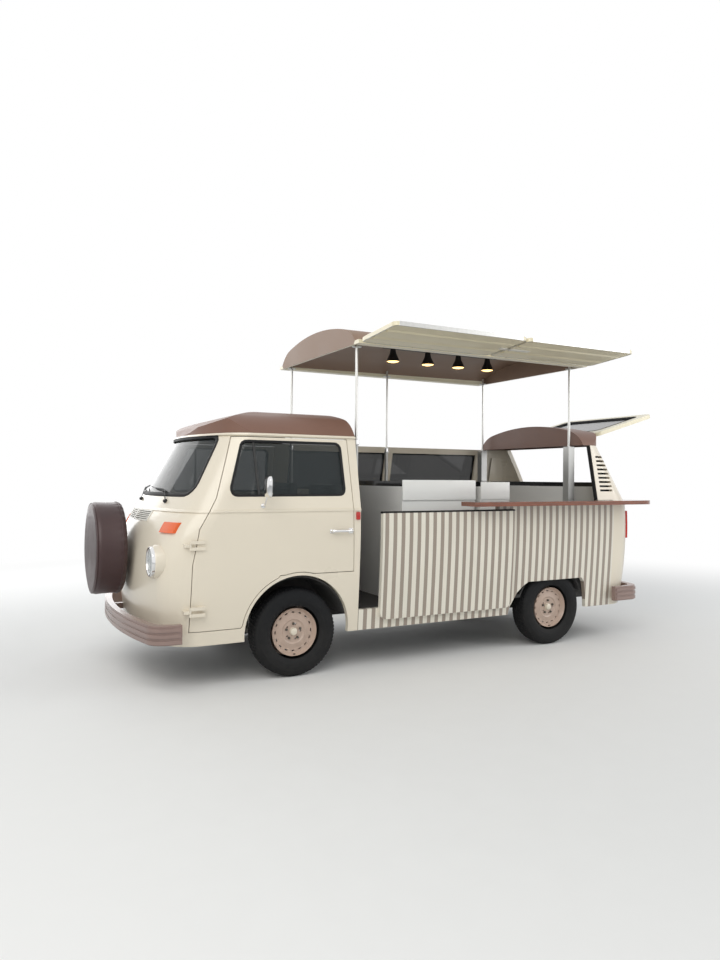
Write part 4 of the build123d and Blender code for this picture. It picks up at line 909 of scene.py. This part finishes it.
# %% Wings
wing_hinge_y, wing_hinge_z, wing_tilt = 820, 2462, radians(4.5)
wing_inner, wing_outer, edging_inset, under = 12, 502, 6, -14
edging = [(-4, -16), (3, -16), (3, 16), (-4, 16), (-4, -16)]
catch = rounded([(-20, -5), (20, -5), (20, 5.4), (-20, 5.4)], 3, 3)
ridge_places, ridge_drop, ridge_inset = ((150, 46), (352, 30)), 9, 26
catch_out, catch_inset, catch_under = 250, 12, -19
lengthwise = np.array([1.0, 0, 0])
outward = np.array([0, cos(wing_tilt), sin(wing_tilt)])
over = np.array([0, -sin(wing_tilt), cos(wing_tilt)])


def on_wing(origin, out, length, lift=0):
    """A place on a wing: so far out from its hinge, so far along it and so far above its sheet."""
    return origin + np.multiply.outer(out, outward) + np.multiply.outer(length, lengthwise) + lift * over


for name, front, rear, catch_reach in (("wing_front", -486, -1665, 70), ("wing_rear", -1675, -2796, 210)):
    origin = np.array([(front + rear) / 2, wing_hinge_y, wing_hinge_z])
    half_length = (front - rear) / 2
    end = half_length - edging_inset
    edge_line = [(wing_inner, -end), (wing_outer, -end), (wing_outer, end), (wing_inner, end)]
    outline = spaced(rounded(edge_line, 34), 60)
    path = on_wing(origin, outline[:, 0], outline[:, 1])
    build(name + "_edging", [along(path, edging, over, closed=True)], "brushed_steel", name)
    ridges = []
    for out, wide in ridge_places:
        line = on_wing(origin, [out, out], [half_length - ridge_inset, ridge_inset - half_length], under)
        across = np.linspace(-1, 1, 13)
        ridge = np.stack([across * wide, -ridge_drop * np.cos(across * pi / 2) ** 2 + 0.3], -1)
        back = np.stack([across[::-1] * wide, np.full(13, 1.5)], -1)
        ridges.append(along(spaced(line, 300, closed=False), np.concatenate([ridge, back, ridge[:1]]), over))
    # The ridges take the wing cream with its yellow of painted bounced light.
    build(name + "_ridges", ridges, "wing_cream_painted_bounce", name)
    inwards = 1 if name == "wing_front" else -1
    catch_x = [inwards * (x - half_length) for x in (catch_inset, catch_reach)]
    line = spaced(on_wing(origin, [catch_out, catch_out], catch_x, catch_under), 40, closed=False)
    build(name + "_catch", [along(line, np.concatenate([catch, catch[:1]]), over)], "white_plastic", name)
    print(name, "is", round(2 * half_length), "mm long")

# %% Pole flanges and collars
pole_places = ((-545, 650), (-545, -650), (-1564, -650), (-2740, 640), (-2740, -640))
roof_sheet_z, tube_top_z, collared = 2447, 1735, 3
flange = [(11.6, 0), (38, 0), (38, -4), (17, -6), (15, -9), (11.6, -9), (11.6, 0)]
collar = [(17.4, -46), (23, -44), (24, -30), (23, -4), (12.2, -1), (12.2, 0.5), (17.4, -5), (17.4, -46)]
flanges = [turned(flange, (x, y, roof_sheet_z), (0, 0, 1), 32) for x, y in pole_places]
build("pole_flanges", flanges, "brushed_steel", "raised_roof")
collars = [turned(collar, (x, y, tube_top_z), (0, 0, 1), 32) for x, y in pole_places[:collared]]
build("pole_collars", collars, "chrome")
print("poles:", len(flanges), "with a collar:", len(collars))

# %% Lamps under the roof
bulb_places, shade_z = (-1250, -1620, -1960, -2300), 2590
glow_colour, glow_strength = (1.0, 0.62, 0.22, 1), 3.0
bulb_profile = [(0, -121), (26, -119), (44, -114), (56, -109.5), (56, -106), (0, -106)]
glow = make_finish("warm_bulb", (1.0, 0.72, 0.32), rough=0.3)[1]
glow.inputs["Emission Color"].default_value = glow_colour
glow.inputs["Emission Strength"].default_value = glow_strength
bulbs = [turned(bulb_profile, (x, 0, shade_z), (0, 0, 1), 32) for x in bulb_places]
build("lamp_bulbs", bulbs, "warm_bulb", "raised_roof")
print("bulbs:", len(bulbs))

# %% [markdown]
# ## Galley fronts
# Cabinet doors stand a board's thickness in front of their boxes with a finger's gap
# between them, and each has an upright bar handle near its front edge.

# %% Cabinet doors and handles
cabinets = ((-1638, -932, 250, -1, 2), (-2000, -1700, 250, -1, 1), (-2000, -996, -200, 1, 3))
door_board, door_gap, door_low, door_high, box_gap = 17, 3, 556, 1362, 0.4
row_inset, handle_inset = 4, 46
handle_line = ((-2, 1120), (26, 1128), (30, 1140), (30, 1250), (26, 1262), (-2, 1270))
fronts, bars = [], []
for rear, front, face_y, out, count in cabinets:
    edges = np.linspace(rear + row_inset, front - row_inset, count + 1)
    low_y, high_y = standing(face_y, out, -box_gap, door_board)
    for start, end in zip(edges[:-1], edges[1:]):
        low, high = (start + door_gap, low_y, door_low), (end - door_gap, high_y, door_high)
        fronts.append(rounded_box(low, high, 2.5))
        x, y = end - handle_inset, face_y + out * door_board
        line = np.array([(x, y + out * off, z) for off, z in handle_line])
        bars.append(along(line, oval(11, 11), (1, 0, 0)))
build("cabinet_doors", fronts, "white_board")
build("cabinet_handles", bars, "brushed_steel")
print("cabinet doors:", len(fronts))

# %% [markdown]
# ## Tail
# The tailgate's pane sits in black rubber that laps both faces. The engine lid has a push
# button, a blank plate sits above it under two small lamps, and the tail pipe comes out
# under the bumper.

# %% Tailgate seal
gate_tilt, gate_hinge = radians(16), np.array([-3134.0, 0, 1878])
gate_along = np.array([-cos(gate_tilt), 0, sin(gate_tilt)])
gate_up = np.array([sin(gate_tilt), 0, cos(gate_tilt)])
pane_near, pane_far, pane_half, pane_sink = 107, 703, 493, 18
pane = [(pane_near, -pane_half), (pane_far, -pane_half), (pane_far, pane_half), (pane_near, pane_half)]
outline = spaced(rounded(pane, 58), 40)
path = gate_hinge + outline[:, :1] * gate_along + outline[:, 1:] * np.array([0, 1.0, 0]) - pane_sink * gate_up
build("tailgate_seal", [along(path, oval(22, 43, 16), gate_up, closed=True)], "black_rubber", "tailgate")
print("tailgate seal points:", len(path))

# %% Lid button, plate, plate lamps and tail pipe
button_z, plate_low, plate_high, plate_half = 612, 955, 1065, 260
lamp_low, lamp_high, lamp_half, lamp_places = 1078, 1104, 34, (-150, 150)
lid_button = [(0, 24), (12, 23), (15, 18), (15, 8), (22, 5), (24, 0), (24, -3), (0, -3)]
button_foot = on_skin("engine_lid", [(behind, 0, button_z)], (1, 0, 0))[0]
build("lid_button", [turned(lid_button, button_foot, (-1, 0, 0), 28)], "chrome", "engine_lid")

plate_rays = [(behind, y, z) for y in (-250, 0, 250) for z in (plate_low + 5, plate_high - 5)]
plate_x = on_skin("rear_body", plate_rays, (1, 0, 0))[:, 0].min()
plate = rounded_box((plate_x - 5, -plate_half, plate_low), (plate_x + 3, plate_half, plate_high), 3)
build("blank_plate", [plate], "white_plastic")
back, front = plate_x - 34, plate_x + 14
plate_lamps = [rounded_box((back, y - lamp_half, lamp_low), (front, y + lamp_half, lamp_high), 9)
               for y in lamp_places]
build("plate_lamps", plate_lamps, "chrome")

pipe_y = -420
pipe_line = ((-3120, 420), (-3200, 380), (-3300, 338), (-3380, 326), (-3462, 322))
pipe = np.array([(x, pipe_y, z) for x, z in pipe_line], float)
pipe_mouth = [(22, -6), (24, -4), (24, 2), (19, 3), (17, -2), (0, -3)]
build("tail_pipe", [along(spaced(pipe, 20, closed=False), oval(44, 44, 20), (0, 1, 0)),
                    turned(pipe_mouth, pipe[-1], (-1, 0, 0), 32)], "cast_metal")
print("plate stands at x", round(float(plate_x), 1))

# %% [markdown]
# ## Door cards and fuel flap
# A padded card covers the inside of each door. Rays sent from the middle of the cab find the
# door's inner face, and the card is that sheet pushed inwards by a pillow with two sewn lines.
# The fuel flap is a crowned sheet found the same way on the right-hand side.

# %% Inside the doors
u, v = np.meshgrid(np.linspace(-1, 1, 41), np.linspace(-1, 1, 29))
card_middle, card_half = (40, 975), (350, 190)
seam_at, seam_wide, seam_deep = 0.42, 0.035, 4
pillow = 2 + 8 * ((1 - u ** 10) * (1 - v ** 10)) ** 0.5
for at in (seam_at, -seam_at):
    pillow -= seam_deep * np.exp(-((v - at) / seam_wide) ** 2)
card_x, card_z = card_middle[0] + u * card_half[0], card_middle[1] + v * card_half[1]
knob_profile = [(0, 20), (9, 18), (10, 4), (7, 0), (0, -1)]
rose_profile = [(0, 6), (17, 5), (23, 0), (23, -3), (0, -3)]
crank_line = ((0, 0, 0), (0, 12, 0), (-40, 16, -22), (-82, 17, -46))
for side, hand in sides:
    aims = np.stack([card_x, np.zeros_like(u), card_z], -1).reshape(-1, 3)
    face = on_skin("door_" + hand, aims, (0, side, 0)).reshape(*u.shape, 3)
    inward = np.array([0, -side, 0])
    card = slab(face + pillow[..., None] * inward, face - inward)
    build("door_card_" + hand, [card], "seat_vinyl", "door_" + hand)
    hub = face[10, 26] + 11 * inward
    crank = np.array([hub + (x, -side * off, z) for x, off, z in crank_line])
    arm = along(spaced(crank, 9, closed=False), oval(9, 13), (0, side, 0.1))
    build("window_winder_" + hand, [arm, turned(knob_profile, crank[-1], (0, -side, 0), 20),
                                    turned(rose_profile, hub, (0, -side, 0), 28)], "chrome", "door_" + hand)
print("door card:", face.shape[:2], "points")

# %% Fuel flap
flap_middle, flap_half, flap_crown = (-2905, 790), 74, 3.2
flap_x, flap_z = flap_middle[0] + u * flap_half, flap_middle[1] + v * flap_half
aims = np.stack([flap_x, np.full_like(u, -beside), flap_z], -1).reshape(-1, 3)
face = on_skin("right_side", aims, (0, 1, 0)).reshape(*u.shape, 3)
crown = flap_crown * (1 - np.maximum(np.abs(u), np.abs(v)) ** 24) ** 0.5 + 0.2
outer_face, inner_face = face + crown[..., None] * np.array([0, -1, 0]), face + np.array([0, 1, 0])
build("fuel_flap", [slab(outer_face, inner_face)], "cream_enamel")
print("fuel flap:", 2 * flap_half, "mm square")

# %% [markdown]
# ## Cab seats
# The seats are sprung pads in black vinyl with sewn channels. A pad is a rounded block whose
# face is crowned, and each channel is a narrow dip across the crown. Each pad pair stands on
# a low black box.

# %% A padded block
pad_steps, edge_power, channel_deep, channel_wide, corner_draw = (49, 41), 10, 7, 0.16, 0.035


def pad(low, high, radius, crown_height, face, channels):
    """A rounded block, its face pushed out by a dome and drawn in along evenly spaced channels."""
    low, high = np.asarray(low, float), np.asarray(high, float)
    u, v = np.meshgrid(*(np.linspace(-1, 1, steps) for steps in pad_steps), indexing="ij")
    edge = 1 - np.maximum(np.abs(u), np.abs(v)) ** edge_power
    stitch = np.exp(-(np.sin(u * pi * channels / 2) / channel_wide) ** 2) * (1 - v ** 8)
    dome = crown_height * (1 - u ** 2) * (1 - v ** 2) - channel_deep * stitch
    axes = [k for k in range(3) if k != face]
    half, mid = (high - low) / 2, (high + low) / 2
    shrink = 1 - corner_draw * (1 - edge)
    sheets = []
    for sign in (-1, 1):
        sheet = np.empty((*pad_steps, 3))
        for axis, w in zip(axes, (u, v)):
            sheet[..., axis] = mid[axis] + half[axis] * np.sign(w) * np.abs(w) ** 0.9 * shrink
        thick = (half[face] - radius) + radius * np.sqrt(np.clip(edge, 0, 1))
        thick = thick + (dome if sign == 1 else 0) * edge
        sheet[..., face] = mid[face] + sign * thick
        sheets.append(sheet)
    rim = np.stack([np.concatenate([s[0, :], s[1:, -1], s[-1, -2::-1], s[-2::-1, 0]]) for s in sheets])
    return sheets + [rim]


print("a pad has", pad_steps[0] * pad_steps[1], "points on each face")

# %% Padded seats
seat_y, cushion_half, base_half, floor_z, base_top = 430, 222, 180, 732.5, 792
sewing = {"radius": 38, "crown_height": 12, "channels": 8}
for side, hand in sides:
    y = side * seat_y
    left_edge, right_edge = y + cushion_half, y - cushion_half
    box = rounded_box((-330, y - base_half, floor_z), (180, y + base_half, base_top), 8)
    base = build("seat_base_" + hand, [box], "chassis_black")
    cushion_grids = pad((-336, right_edge, base_top), (196, left_edge, 892), face=2, **sewing)
    cushion = build("seat_cushion_" + hand, cushion_grids, "seat_vinyl")
    back_grids = pad((-438, right_edge, 886), (-330, left_edge, 1398), face=0, **sewing)
    back = build("seat_back_" + hand, back_grids, "seat_vinyl")
    if hand == "left":
        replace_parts(base, "seats")
seat_low, seat_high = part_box("seats")
print("seat solids stand between", round(seat_low.z * 1000), "and", round(seat_high.z * 1000), "mm")

# %% Sizes
low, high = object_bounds()
print("visual box", [round(v, 3) for v in (*low, *high)])
